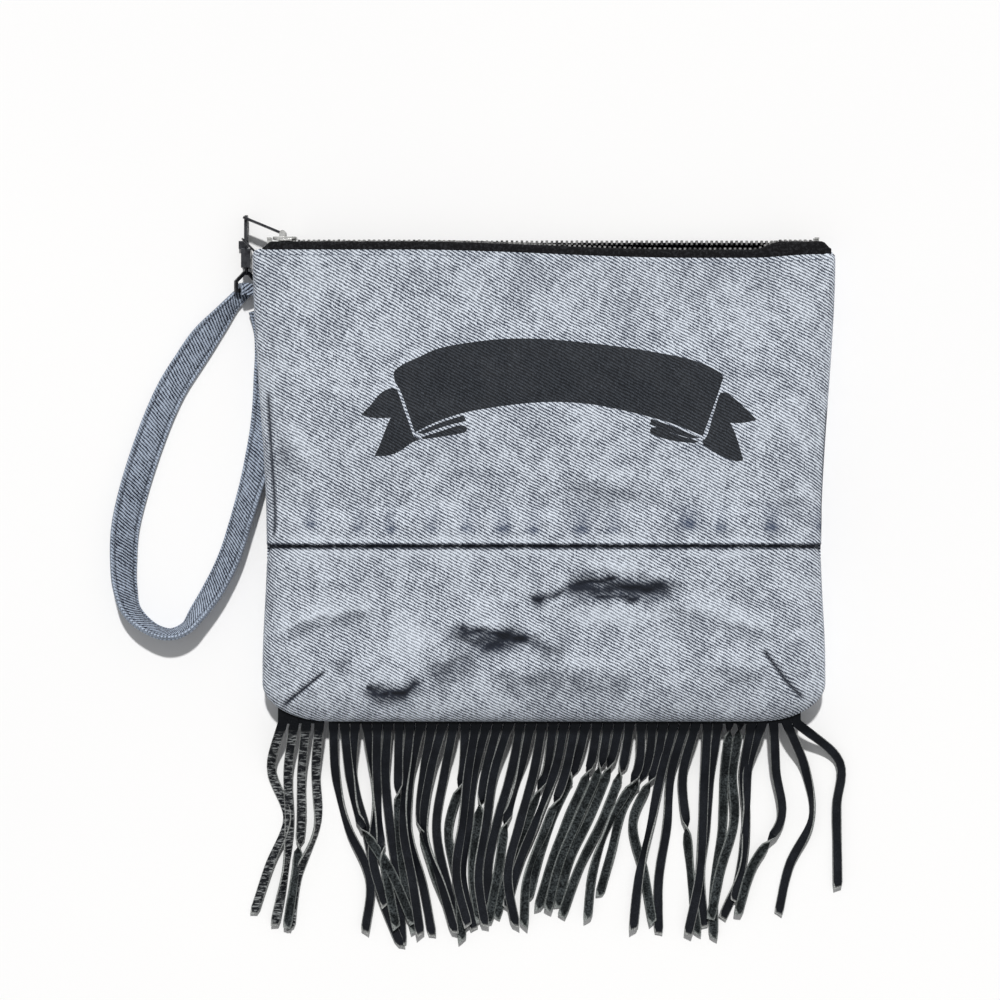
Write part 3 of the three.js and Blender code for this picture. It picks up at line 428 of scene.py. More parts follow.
def panel(name, rows, columns, surface, narrow=None, flip=False, extras=True):
    """A denim panel on a fine grid, with its flat-cloth coordinates, folds and thickness."""
    share = np.linspace(-1, 1, columns)
    share = 0.5 * share + 0.5 * np.sin(share * math.pi / 2)
    y = np.repeat(np.asarray(rows)[:, None], columns, axis=1)
    half = half_width(y)
    x = share[None, :] * half
    z = surface(x, y)
    masks = {}
    if extras:
        height, painted_shade, wear_and_highlight, dye = relief(x, y)
        z = z + height * rim_fade(x, y)
        masks = {"painted_shade": painted_shade, "wear_and_highlight": wear_and_highlight, "dye": dye}
    shown_x = x * (half - narrow(y)) / half if narrow else x
    shown_y = y - (edge_drop(x, y) if extras else 0)
    points = np.stack([(shown_x + ORIGIN[0]) * MM, (shown_y + ORIGIN[1]) * MM, z * MM], axis=-1)
    across = np.linalg.norm(np.diff(points, axis=1), axis=2).cumsum(axis=1)
    across = np.concatenate([np.zeros((len(rows), 1)), across], axis=1)
    across -= across[:, columns // 2][:, None]
    along = np.linalg.norm(np.diff(points[:, columns // 2], axis=0), axis=1).cumsum()
    along = np.concatenate([[0], along])
    along += rows[0] * MM
    uv = np.stack([across, np.repeat(along[:, None], columns, axis=1)], axis=-1).reshape(-1, 2)
    piece = new_piece(name, points.reshape(-1, 3), grid_faces(len(rows), columns, flip))
    set_uv(piece, uv)
    for key, values in masks.items():
        set_attribute(piece, key, values)
    apply_modifier(piece, "SOLIDIFY", thickness=DENIM_THICK * MM, offset=0, use_rim=True)
    return piece


class Graph:
    """Short calls for making and linking shader nodes in one tree."""

    def __init__(self, tree):
        self.tree = tree

    def node(self, kind, **settings):
        made = self.tree.nodes.new(kind)
        for key, value in settings.items():
            setattr(made, key, value)
        return made

    def feed(self, socket, value):
        if hasattr(value, "is_output"):
            self.tree.links.new(value, socket)
        else:
            socket.default_value = value

    def fill(self, node, **values):
        """Feeds several sockets, whose names are written with low lines for spaces."""
        for key, value in values.items():
            self.feed(node.inputs[key.replace("_", " ")], value)

    def own_place(self):
        """The piece's own coordinates, in metres."""
        return self.node("ShaderNodeTexCoord").outputs["Object"]

    def split(self, vector):
        """The three parts of a vector."""
        made = self.node("ShaderNodeSeparateXYZ")
        self.feed(made.inputs[0], vector)
        return list(made.outputs)

    def waves(self, scale, direction, distortion=0.0):
        """Even ribs over the piece's own coordinates."""
        made = self.node("ShaderNodeTexWave", bands_direction=direction, wave_profile="SIN")
        self.fill(made, Vector=self.own_place(), Scale=scale, Distortion=distortion)
        return made.outputs["Fac"]

    def mask(self, name):
        """A piece's own attribute."""
        return self.node("ShaderNodeAttribute", attribute_name=name).outputs["Fac"]

    def plus(self, first, second):
        return self.math("ADD", first, second)

    def minus(self, first, second):
        return self.math("SUBTRACT", first, second)

    def times(self, first, second):
        return self.math("MULTIPLY", first, second)

    def math(self, operation, *values):
        made = self.node("ShaderNodeMath", operation=operation)
        for socket, value in zip(made.inputs, values):
            self.feed(socket, value)
        return made.outputs[0]

    def remap(self, value, low, high, to_low=0.0, to_high=1.0):
        made = self.node("ShaderNodeMapRange", interpolation_type="SMOOTHSTEP")
        self.fill(made, Value=value, From_Min=low, From_Max=high, To_Min=to_low, To_Max=to_high)
        return made.outputs["Result"]

    def mix(self, share, first, second):
        made = self.node("ShaderNodeMix", data_type="RGBA")
        self.feed(made.inputs[0], share)
        self.feed(made.inputs[6], first)
        self.feed(made.inputs[7], second)
        return made.outputs[2]

    def noise(self, vector, scale, detail=3.0, roughness=0.55):
        made = self.node("ShaderNodeTexNoise")
        self.fill(made, Vector=vector, Scale=scale, Detail=detail, Roughness=roughness)
        return made.outputs["Fac"]

    def scaled(self, vector, x, y, z=1.0):
        made = self.node("ShaderNodeVectorMath", operation="MULTIPLY")
        self.feed(made.inputs[0], vector)
        self.feed(made.inputs[1], (x, y, z))
        return made.outputs[0]

    def bump(self, height, distance, strength=1.0):
        made = self.node("ShaderNodeBump")
        self.fill(made, Height=height, Distance=distance, Strength=strength)
        return made.outputs["Normal"]


def group(name, inputs, outputs):
    """An empty shader node group with named sockets, its graph, and its input and output nodes."""
    tree = bpy.data.node_groups.new(name, "ShaderNodeTree")
    for label, kind, default in inputs:
        socket = tree.interface.new_socket(name=label, in_out="INPUT", socket_type=kind)
        if default is not None:
            socket.default_value = default
    for label, kind in outputs:
        tree.interface.new_socket(name=label, in_out="OUTPUT", socket_type=kind)
    graph = Graph(tree)
    return tree, graph, graph.node("NodeGroupInput").outputs, graph.node("NodeGroupOutput").inputs


def place_group(graph, tree, **values):
    made = graph.node("ShaderNodeGroup", node_tree=tree)
    graph.fill(made, **values)
    return made.outputs


FLOAT, VECTOR = "NodeSocketFloat", "NodeSocketVector"
# Spacing of the warps, and of the weave's steps up a warp, in metres
WARP, RISE = 0.00067, 0.00146
# Scale and share of each noise in the wash; the last one runs in streaks
WASH_BROAD, WASH_MID, WASH_STREAK = (42.0, 0.46), (150.0, 0.38), ((95.0, 9.0), 0.16)


def twill_group():
    """Twill weave: warp floats that step down to the right, with uneven threads."""
    tree, g, i, o = group(
        "Twill weave",
        [("Cloth", VECTOR, None), ("Warp", FLOAT, WARP), ("Rise", FLOAT, RISE), ("Unevenness", FLOAT, 0.5)],
        [("Pale thread", FLOAT), ("Height", FLOAT), ("Wash", FLOAT)],
    )
    cloth = i["Cloth"]
    x, y = g.split(cloth)[:2]
    column = g.math("DIVIDE", x, i["Warp"])
    column_index = g.math("FLOOR", column)
    across = g.math("SINE", g.times(g.math("FRACT", column), math.pi))
    wander = g.minus(g.noise(cloth, 190.0, 2.0), 0.5)
    rise = g.plus(g.plus(g.math("DIVIDE", y, i["Rise"]), g.times(column_index, 0.25)), g.times(wander, 0.9))
    wave = g.math("SINE", g.times(rise, 2 * math.pi))
    thread = g.node("ShaderNodeCombineXYZ")
    g.fill(thread, X=column_index, Y=g.math("FLOOR", rise))
    chance = g.node("ShaderNodeTexWhiteNoise", noise_dimensions="2D")
    g.fill(chance, Vector=thread.outputs[0])
    uneven = g.times(g.minus(chance.outputs["Value"], 0.5), i["Unevenness"])
    slub = g.minus(g.noise(g.scaled(cloth, 1500.0, 240.0), 1.0, 3.0), 0.5)
    mixed = g.plus(wave, g.plus(g.times(uneven, 1.5), g.times(slub, 1.9)))
    g.feed(o["Pale thread"], g.remap(mixed, -0.85, 0.9))
    g.feed(o["Height"], g.times(g.remap(wave, -1.0, 1.0), g.plus(g.times(across, 0.5), 0.5)))
    broad = g.times(g.noise(cloth, WASH_BROAD[0], 4.0, 0.6), WASH_BROAD[1])
    mid = g.times(g.noise(cloth, WASH_MID[0], 3.0, 0.6), WASH_MID[1])
    streak = g.times(g.noise(g.scaled(cloth, *WASH_STREAK[0]), 1.0, 4.0, 0.6), WASH_STREAK[1])
    g.feed(o["Wash"], g.plus(g.plus(broad, mid), streak))
    return tree


def grain_group():
    """Leather close up: pebbled grain, loose fibres and broad patches, over the piece's own coordinates."""
    tree, g, i, o = group(
        "Leather grain",
        [("Place", VECTOR, None), ("Pebble", FLOAT, 900.0), ("Speckle", FLOAT, 2600.0)],
        [("Grain", FLOAT), ("Fibres", FLOAT), ("Patches", FLOAT)],
    )
    cells = g.node("ShaderNodeTexVoronoi", feature="DISTANCE_TO_EDGE")
    g.fill(cells, Vector=i["Place"], Scale=i["Pebble"])
    g.feed(o["Grain"], g.remap(cells.outputs["Distance"], 0.0, 0.35))
    g.feed(o["Fibres"], g.remap(g.noise(i["Place"], i["Speckle"], 4.0, 0.7), 0.36, 0.66))
    g.feed(o["Patches"], g.noise(i["Place"], 120.0, 3.0, 0.6))
    return tree


GROUPS = {}


def shared(name):
    makers = {"twill": twill_group, "grain": grain_group}
    if name not in GROUPS:
        GROUPS[name] = makers[name]()
    return GROUPS[name]


def blank_material(name):
    """Makes a material, and gives its graph and its shader."""
    material = bpy.data.materials.new(name)
    material.use_nodes = True
    return Graph(material.node_tree), material.node_tree.nodes["Principled BSDF"]


def srgb(r, g, b):
    """A colour measured on a screen, as the linear colour that a shader takes."""
    linear = [((v / 255 + 0.055) / 1.055) ** 2.4 if v > 10 else v / 255 / 12.92 for v in (r, g, b)]
    return (*linear, 1.0)


def denim_material(name, dark, pale, marked=True):
    """Washed twill: pale and dark threads, uneven wash, dye marks, wear with painted highlight, and painted
    shade in folds, creases, seams and under the lap.
    """
    g, shader = blank_material(name)
    cloth = g.node("ShaderNodeUVMap", uv_map="UVMap").outputs[0]
    weave = place_group(g, shared("twill"), Cloth=cloth, Unevenness=0.55)
    share = g.plus(weave["Pale thread"], g.remap(weave["Wash"], 0.38, 0.62, -0.17, 0.17))
    if marked:
        painted_shade, wear_and_highlight, dye = (g.mask(key) for key in ("painted_shade", "wear_and_highlight", "dye"))
        broken = g.remap(g.noise(cloth, 620.0, 3.0, 0.7), 0.35, 0.62, 0.55, 1.0)
        # Wear and painted highlight lighten the threads; painted shade darkens them
        share = g.minus(g.plus(share, g.times(wear_and_highlight, 0.3)), g.times(painted_shade, 0.62))
        share = g.minus(share, g.times(g.times(dye, broken), 0.6))
    share = g.math("MINIMUM", g.math("MAXIMUM", share, 0.0), 1.0)
    colour = g.mix(share, dark, pale)
    if marked:
        colour = g.mix(g.times(dye, 0.35), colour, srgb(66, 84, 118))
        # Painted shade: a near-black colour mixed in where folds, creases, seams and the lap cast shade
        colour = g.mix(g.times(painted_shade, 0.45), colour, srgb(18, 21, 28))
    g.fill(shader, Base_Color=colour, Roughness=g.remap(weave["Pale thread"], 0.0, 1.0, 0.96, 0.86),
           Specular_IOR_Level=0.2, Sheen_Weight=0.06, Normal=g.bump(weave["Height"], 0.00016, 0.8))


def ink_material():
    """Screen-printed ink that lets the twill through."""
    g, shader = blank_material("Printed ink")
    cloth = g.own_place()
    weave = place_group(g, shared("twill"), Cloth=cloth, Unevenness=0.6)
    pale = weave["Pale thread"]
    thin = g.remap(g.noise(cloth, 1500.0, 3.0, 0.7), 0.5, 0.75, 0.0, 0.3)
    colour = g.mix(g.plus(g.times(pale, 0.16), g.times(thin, pale)), srgb(13, 15, 20), srgb(122, 130, 141))
    g.fill(shader, Base_Color=colour, Roughness=g.remap(weave["Wash"], 0.35, 0.65, 0.75, 0.92),
           Specular_IOR_Level=0.25, Normal=g.bump(weave["Height"], 0.00012, 0.7))


# Heights in the part's frame, in metres, between which the fringe darkens into painted shadow at its header,
# under the front panel's overhanging edge
HEADER_SHADE = (-0.0695, -0.0655)


def leather_material(name, base, sheen, edge, roughness, relief_m, crackle=0.0, speckle=2600.0):
    """Dyed leather: grain or nap, cut edges painted lighter, partly paler cut leather and partly painted sheen,
    cracks across where it has been folded, and painted shadow at the header.
    """
    g, shader = blank_material(name)
    own = g.own_place()
    grain = place_group(g, shared("grain"), Place=own, Speckle=speckle)
    fibres, height = grain["Fibres"], grain["Grain"]
    colour = g.mix(g.times(fibres, g.remap(grain["Patches"], 0.35, 0.65, 0.25, 0.9)), base, sheen)
    if crackle:
        cracks = g.remap(g.noise(g.scaled(own, 260.0, 1500.0, 260.0), 1.0, 3.0, 0.7), 0.5, 0.62)
        colour = g.mix(g.times(cracks, crackle), colour, srgb(150, 153, 154))
        height = g.plus(height, cracks)
    ragged = g.remap(g.noise(own, 1900.0, 2.0, 0.6), 0.35, 0.6, 0.35, 1.0)
    # Cut edges: their paler colour, with a painted sheen along them
    colour = g.mix(g.times(g.remap(g.mask("rim"), 0.55, 1.0), ragged), colour, edge)
    # Painted shadow at the header, where the front panel overhangs the fringe
    colour = g.mix(g.remap(g.split(own)[1], *HEADER_SHADE), colour, srgb(6, 8, 12))
    rough = g.remap(fibres, 0.0, 1.0, roughness, min(1.0, roughness + 0.18))
    g.fill(shader, Base_Color=colour, Specular_IOR_Level=0.07, Roughness=rough,
           Normal=g.bump(height, relief_m, 0.7))


def tape_material():
    """Woven zip tape: fine ribs across the tape, with dust in them."""
    g, shader = blank_material("Zip tape")
    dust = g.remap(g.noise(g.own_place(), 900.0, 3.0, 0.6), 0.45, 0.7)
    colour = g.mix(g.times(dust, 0.5), srgb(16, 16, 18), srgb(60, 61, 64))
    ribs = g.bump(g.waves(480.0, "X", 0.8), 0.00012, 0.8)
    g.fill(shader, Base_Color=colour, Specular_IOR_Level=0.1, Roughness=g.remap(dust, 0.0, 1.0, 0.82, 0.95),
           Normal=ribs)


def metal_material(name, colour, tarnish, roughness, tarnish_share):
    """Plated metal: fine scratches, handling haze, and plating that has dulled in patches."""
    g, shader = blank_material(name)
    own = g.own_place()
    haze = g.remap(g.noise(own, 420.0, 4.0, 0.6), 0.4, 0.65)
    scratch = g.remap(g.noise(g.scaled(own, 5200.0, 700.0, 900.0), 1.0, 2.0), 0.56, 0.66)
    rough = g.plus(g.plus(g.times(haze, 0.16), g.times(scratch, 0.14)), roughness)
    g.fill(shader, Metallic=1.0, Base_Color=g.mix(g.times(haze, tarnish_share), colour, tarnish),
           Roughness=rough, Normal=g.bump(scratch, 0.00002, 0.35))


def thread_material():
    """Sewing thread: two plies twisted together."""
    g, shader = blank_material("Sewing thread")
    ply = g.waves(900.0, "DIAGONAL")
    fade = g.remap(g.noise(g.own_place(), 160.0, 2.0), 0.35, 0.65)
    g.fill(shader, Base_Color=g.mix(fade, srgb(66, 74, 88), srgb(126, 135, 150)),
           Roughness=g.remap(ply, 0.0, 1.0, 0.6, 0.75), Normal=g.bump(ply, 0.00004, 0.6))


def outer_face(x, y, lift):
    """Points, as rows of metres, on the front's outer face at flat arrays of x and y in millimetres."""
    ax, ay = np.atleast_2d(np.asarray(x, float)), np.atleast_2d(np.asarray(y, float))
    z = np.where(ay >= LAP_Y, upper_mid(ax, ay), front_mid(ax, ay))
    z = z + relief(ax, ay)[0] * rim_fade(ax, ay) + DENIM_THICK / 2 + lift
    shown_y = ay - edge_drop(ax, ay)
    return np.stack([(ax + ORIGIN[0]) * MM, (shown_y + ORIGIN[1]) * MM, z * MM], axis=-1).reshape(-1, 3)


def spline(points, per=6):
    """A curve through points, with the same centripetal spacing that the part's source uses."""
    pts = [Vector(p) for p in points]
    pts = [pts[0] * 2 - pts[1]] + pts + [pts[-1] * 2 - pts[-2]]
    made = []
    for a, b, c, d in zip(pts, pts[1:], pts[2:], pts[3:]):
        t0 = 0.0
        t1 = t0 + math.sqrt(max((b - a).length, 1e-9))
        t2 = t1 + math.sqrt(max((c - b).length, 1e-9))
        t3 = t2 + math.sqrt(max((d - c).length, 1e-9))
        for k in range(per):
            t = t1 + (t2 - t1) * k / per
            a1 = a * ((t1 - t) / (t1 - t0)) + b * ((t - t0) / (t1 - t0))
            a2 = b * ((t2 - t) / (t2 - t1)) + c * ((t - t1) / (t2 - t1))
            a3 = c * ((t3 - t) / (t3 - t2)) + d * ((t - t2) / (t3 - t2))
            b1 = a1 * ((t2 - t) / (t2 - t0)) + a2 * ((t - t0) / (t2 - t0))
            b2 = a2 * ((t3 - t) / (t3 - t1)) + a3 * ((t - t1) / (t3 - t1))
            made.append(b1 * ((t2 - t) / (t2 - t1)) + b2 * ((t - t1) / (t2 - t1)))
    made.append(pts[-2])
    return made


# Banner print: runs of the photograph's points; each run is a smooth curve, and runs meet at corners
RIBBON = [
    [(395.5, 381), (395, 373), (403, 366), (420, 358), (438, 350), (475, 343), (506, 340), (540, 340),
     (596, 345), (652, 353), (694, 362), (713, 370.5), (721, 377), (719, 386), (711, 409), (701, 436.5)],
    [(700, 436), (673, 425), (652, 418.5), (613, 409), (582, 404), (540, 403), (494, 408), (462, 414),
     (436, 423), (415.5, 433)],
    [(415, 431), (409, 413), (401, 391), (396, 383)],
]
TAIL_LEFT = [
    [(398, 391), (393, 389), (382, 394), (372, 406), (363, 415)],
    [(363.5, 416), (375, 418.5), (392, 418.5)],
    [(391, 420), (386, 432), (382, 443), (376, 456)],
    [(377, 456.5), (388, 456), (400, 452), (413, 443), (421, 439.8)],
    [(414.5, 437), (406, 413), (399, 393)],
]
TAIL_RIGHT = [
    [(718.5, 394), (724, 393.5), (732, 399), (741, 407), (754, 420)],
    [(753, 421), (740, 423.5), (728, 423.5)],
    [(729, 425), (733, 434), (737, 446), (741, 460)],
    [(740, 461), (732, 461), (717, 455), (702, 446)],
    [(700.5, 441), (704, 438.5), (711, 417), (717, 397)],
]
CURLS = [
    [[(418, 433.4), (440, 423.8), (464, 416)], [(466.5, 421.5), (445, 427), (424, 434.6)]],
    [[(422, 438), (445, 430.6), (461, 426), (467, 428), (466.5, 432), (458, 434.5), (440, 437.5),
      (424, 439.6)]],
    [[(650, 419.5), (672, 427.4), (698, 438.4)], [(689, 439), (668, 432.5), (648.5, 425)]],
    [[(697, 441.8), (672, 434.4), (656, 428), (649.5, 429), (649, 433), (656, 437), (674, 441.6),
      (692, 443.6)]],
]
INK_LIFT, INK_THICK = 0.16, 0.12


def print_field(name, shapes, step=2.5):
    """A field of ink cut to its outline, divided, and laid on the front panel's face."""
    bm = bmesh.new()
    for runs in shapes:
        outline = [p for run in runs for p in spline([(a, b, 0) for a, b in traced(run)])]
        bm.faces.new([bm.verts.new((p.x, p.y, 0)) for p in outline])
    bmesh.ops.recalc_face_normals(bm, faces=bm.faces[:])
    for face in bm.faces:
        if face.normal.z < 0:
            face.normal_flip()
    for axis, normal in enumerate((Vector((1, 0, 0)), Vector((0, 1, 0)))):
        spread = [v.co[axis] for v in bm.verts]
        for k in range(1, int((max(spread) - min(spread)) / step) + 1):
            whole = bm.verts[:] + bm.edges[:] + bm.faces[:]
            at = normal * (min(spread) + k * step)
            bmesh.ops.bisect_plane(bm, geom=whole, plane_co=at, plane_no=normal, dist=1e-5)
    bmesh.ops.triangulate(bm, faces=[f for f in bm.faces if len(f.verts) > 4])
    flat = np.array([v.co[:2] for v in bm.verts])
    for vertex, point in zip(bm.verts, outer_face(flat[:, 0], flat[:, 1], INK_LIFT)):
        vertex.co = point
    piece = new_piece(name, [], [])
    bm.to_mesh(piece.data)
    bm.free()
    apply_modifier(piece, "SOLIDIFY", thickness=INK_THICK * MM, offset=-1)
    return piece


def zip_follow(x):
    """1 along the open zip, and 0 before the top stop, where the slider comes to rest over both tapes."""
    return 1 - float(smooth((x - FOLLOW_END) / FOLLOW_RUN))


def zip_drop(x, side):
    """How far a tape has dropped with the pouch's edge: only the front one does."""
    return float(edge_drop(np.array(x), np.array(HEIGHT))) * zip_follow(x) if side > 0 else 0.0


def zip_tape(name, side):
    """Half of the zip's tape: up the pouch's wall, over, and in to the edge that the teeth grip."""
    last = TAPE_RIGHT + TAPE_TUCK
    xs = np.concatenate([np.arange(TAPE_LEFT - 1.6, last, 1.1), [last]])
    points = []
    for x in xs:
        left = 3.0 * float(smooth((TAPE_LEFT + 2.5 - x) / 4.5))
        right = 3.2 * float(smooth((x - TAPE_RIGHT) / 4.2))
        ripple = 0.18 * noise.noise(Vector((x / 5.0, side * 7.0, 0)))
        moved = ripple - (zip_drop(x, side) + left + right)
        for z, y in TAPE_PROFILE:
            share = float(smooth((y + TAPE_FREE) / TAPE_FREE))
            points.append(place(x, ZIP_Y + y + moved * share, SEAM_Z + side * z))
    piece = new_piece(name, points, grid_faces(len(xs), len(TAPE_PROFILE), flip=side > 0))
    apply_modifier(piece, "SOLIDIFY", thickness=TAPE_THICK * MM, offset=0)
    apply_modifier(piece, "BEVEL", width=0.12 * MM, segments=2, limit_method="ANGLE")
    return piece


def tooth_shape():
    """One crimped tooth, modelled at the origin in millimetres: jaws, a waist, and a rounded scoop."""
    bpy.ops.object.select_all(action="DESELECT")
    bpy.ops.mesh.primitive_cube_add(size=1)
    tooth = bpy.context.object
    bpy.ops.object.mode_set(mode="EDIT")
    bpy.ops.transform.resize(value=(TOOTH_WIDE, TOOTH_TALL, TOOTH_REACH))
    bpy.ops.mesh.select_mode(type="FACE")
    bpy.ops.mesh.select_all(action="DESELECT")
    bm = bmesh.from_edit_mesh(tooth.data)
    for face in bm.faces:
        face.select = face.normal.z < -0.9
    bmesh.update_edit_mesh(tooth.data)
    bpy.ops.mesh.inset(thickness=TOOTH_NECK)
    bpy.ops.mesh.extrude_region_move(TRANSFORM_OT_translate={"value": (0, 0, -TOOTH_NOSE)})
    bpy.ops.mesh.select_all(action="SELECT")
    bpy.ops.mesh.bevel(offset=TOOTH_EDGE, segments=1, affect="EDGES")
    bpy.ops.object.mode_set(mode="OBJECT")
    return tooth


def repeated(name, template, places):
    """One piece from a template that is copied to each place: a matrix of axes and a point, in metres."""
    shape = np.array([v.co for v in template.data.vertices])
    polygons = [tuple(p.vertices) for p in template.data.polygons]
    vertices, faces = [], []
    for axes, at in places:
        start = len(vertices)
        vertices.extend(shape @ np.asarray(axes).T + np.asarray(at))
        faces.extend(tuple(start + i for i in polygon) for polygon in polygons)
    return new_piece(name, vertices, faces)


def zip_teeth(name, template, side):
    """The row of teeth on one tape, each leaning a little."""
    draw = random.Random(11 if side > 0 else 12)
    places = []
    for i in range(TOOTH_COUNT):
        x = TOOTH_FIRST + (0 if side > 0 else TOOTH_PITCH / 2) + i * TOOTH_PITCH
        lean = math.radians(draw.uniform(-4, 4))
        c, s = math.cos(lean), math.sin(lean)
        turn = np.array([[c, -s, 0], [s, c, 0], [0, 0, side]])
        y = ZIP_Y - zip_drop(x, side) + draw.uniform(-0.08, 0.08)
        at = place(x, y, SEAM_Z + side * (TOOTH_GAP + TOOTH_REACH / 2))
        places.append((turn * MM, at))
    piece = repeated(name, template, places)
    if side < 0:
        piece.data.flip_normals()
    return piece


# Strap: the swivel bar that it folds round, then its route (x, y, tilt in degrees), as in the part's source
BAR = Vector((-134.43, 193.45, 5.3))
BAR_TILT, FOLD_TILT = math.radians(62), 30.0
FOLD_RADIUS, FOLD_END, FOLD_WIDTH = 2.58, 2.0, 7.0
STRAP_WIDTH, STRAP_THICK, STRAP_SPREAD = 13.2, 2.4, 34.0
FLOOR_GAP = 0.1
STRAP_ROUTE = [
    (-141, 188, 40), (-146.7, 181, 25), (-153.9, 172, 12), (-161, 161.5, 8), (-167.8, 150.8, 8),
    (-174, 137.7, 10), (-181.4, 117.5, 14), (-186.8, 99, 20), (-189.5, 85.5, 28), (-190.1, 73.4, 34),
    (-189.5, 60.3, 44), (-186.3, 49, 62), (-177.5, 40.9, 74), (-169.2, 38.3, 76), (-161.6, 41.2, 70),
    (-156.6, 47.7, 56), (-149.4, 58.5, 44), (-142.2, 73, 40), (-136.8, 89.8, 40), (-132.3, 105.3, 34),
    (-128.9, 119, 20), (-126.6, 131, 6), (-125.2, 147, 2), (-125.2, 162, 0), (-127.2, 175, -6),
    (-130.4, 185, -22),
]
STRAP_PER = 7
# How pale the strap's edges are, from wear and painted highlight, how pale its stitched grooves are and how
# dark their painted shade is, and its two stitched rows
EDGE_PALE, GROOVE_PALE, GROOVE_SHADE = 0.9, 0.35, 0.75
STITCH_ROW, STRAP_STITCH, SEAM_STITCH = 0.74, 3.0, 2.7
# Two faces of the strap lie this far apart, in mm, on its flat cloth
CLOTH_SHIFT = 40


def strap_stations():
    """Centre, width direction and width of the strap, from its folded end round the loop and back."""
    across = Vector((-math.sin(BAR_TILT), 0, math.cos(BAR_TILT)))
    out = Vector((math.cos(BAR_TILT), 0, math.sin(BAR_TILT)))
    stations = []
    for drop, angle in [(FOLD_END, 0)] + [(0, math.pi * k / 10) for k in range(11)]:
        lift = Vector((0, math.sin(angle) * FOLD_RADIUS - drop, 0))
        stations.append((BAR + out * (math.cos(angle) * FOLD_RADIUS) + lift, across.copy(), FOLD_WIDTH))
    last = stations[-1][0]
    route = spline([(last.x, last.y, 0)] + [(x, y, 0) for x, y, tilt in STRAP_ROUTE], STRAP_PER)
    tilts = [FOLD_TILT] + [tilt for x, y, tilt in STRAP_ROUTE]
    lengths = [0.0]
    for a, b in zip(route, route[1:]):
        lengths.append(lengths[-1] + (b - a).length)
    for n in range(1, len(route)):
        k, part = divmod(n / STRAP_PER, 1)
        k = min(int(k), len(tilts) - 2)
        tilt = math.radians(lerp(tilts[k], tilts[k + 1], part if n < len(route) - 1 else 1))
        along = (route[min(n + 1, len(route) - 1)] - route[n - 1]).normalized()
        near = min(lengths[n], lengths[-1] - lengths[n])
        width = float(lerp(FOLD_WIDTH, STRAP_WIDTH, smooth(near / STRAP_SPREAD)))
        centre = route[n].copy()
        centre.z = abs(math.sin(tilt)) * width / 2 + math.cos(tilt) * STRAP_THICK / 2 + FLOOR_GAP
        outward = Vector((along.y, -along.x, 0))
        stations.append((centre, outward * math.cos(tilt) + Vector((0, 0, math.sin(tilt))), width))
    return stations


# The strap's section: place across its width, place in its thickness, as shares of the half sizes
STRAP_SECTION = [
    (-1.0, -0.35), (-0.94, -0.85), (-0.8, -0.8), (-0.72, -0.62), (-0.6, -0.95), (0.0, -1.0), (0.6, -0.95),
    (0.72, -0.62), (0.8, -0.8), (0.94, -0.85), (1.0, -0.35), (1.0, 0.35), (0.94, 0.85),
    (0.8, 0.8), (0.72, 0.62),
    (0.6, 0.95), (0.0, 1.0), (-0.6, 0.95), (-0.72, 0.62), (-0.8, 0.8), (-0.94, 0.85), (-1.0, 0.35),
]


def strap_frames():
    """Each station's centre, unit width and unit thickness directions, width, and length so far."""
    stations = strap_stations()
    frames = []
    length = 0.0
    for n, (centre, across, width) in enumerate(stations):
        before, after = stations[max(0, n - 1)][0], stations[min(len(stations) - 1, n + 1)][0]
        along = (after - before).normalized()
        side = (across - along * across.dot(along)).normalized()
        if n:
            length += (centre - stations[n - 1][0]).length
        frames.append((centre, side, side.cross(along).normalized(), along, width, length))
    return frames


def strap_band():
    """The folded denim band, with a seam allowance's ridge between its two rows of stitches."""
    points, uv, wear_and_highlight = [], [], []
    frames = strap_frames()
    for centre, side, up, _, width, length in frames:
        for a, b in STRAP_SECTION:
            swell = 1 + 0.07 * noise.noise(Vector((length / 6, a * 2, b)))
            offset = side * (a * width / 2) + up * (b * STRAP_THICK / 2 * swell)
            points.append(place(*(centre + offset)))
            uv.append(((a * width / 2 + (CLOTH_SHIFT if b > 0 else 0)) * MM, length * MM))
            wear_and_highlight.append(EDGE_PALE if abs(a) > 0.9 else GROOVE_PALE if abs(b) < 0.7 else 0.0)
    piece = new_piece("strap_band", points, loft_faces(len(frames), len(STRAP_SECTION)))
    face_outwards(piece)
    set_uv(piece, uv)
    # Edges painted paler with wear and painted highlight; stitched grooves darkened with painted shade
    set_attribute(piece, "wear_and_highlight", wear_and_highlight)
    set_attribute(piece, "painted_shade", [GROOVE_SHADE if w == GROOVE_PALE else 0.0 for w in wear_and_highlight])
    set_attribute(piece, "dye", [0.0] * len(wear_and_highlight))
    return piece


def stitch_shape():
    """One stitch of unit length along X, modelled at the origin: a short thread that dives at both ends."""
    bpy.ops.object.select_all(action="DESELECT")
    bpy.ops.mesh.primitive_cylinder_add(vertices=6, radius=0.5, depth=1, rotation=(0, math.pi / 2, 0))
    stitch = bpy.context.object
    bpy.ops.object.transform_apply(location=False, rotation=True, scale=False)
    bpy.ops.object.mode_set(mode="EDIT")
    for cut in (0.22, -0.22):
        bpy.ops.mesh.select_all(action="SELECT")
        bpy.ops.mesh.bisect(plane_co=(cut, 0, 0), plane_no=(1, 0, 0))
    bpy.ops.object.mode_set(mode="OBJECT")
    for vertex in stitch.data.vertices:
        if abs(vertex.co.x) > 0.4:
            vertex.co.y *= 0.55
            vertex.co.z = vertex.co.z * 0.55 - 0.5
    return stitch


def stitch_row(name, slot, template, spots, length=1.9, thick=0.55):
    """Sews a row of stitches: each spot is a point in metres, a direction, and the way out of the cloth."""
    places = []
    for at, along, out in spots:
        along = along.normalized()
        side = out.cross(along).normalized()
        axes = np.array([along * length, side * thick, side.cross(along) * -thick]).T
        places.append((axes * MM, at))
    dress(repeated(name, template, places), "pouch", slot, materials()["Sewing thread"])


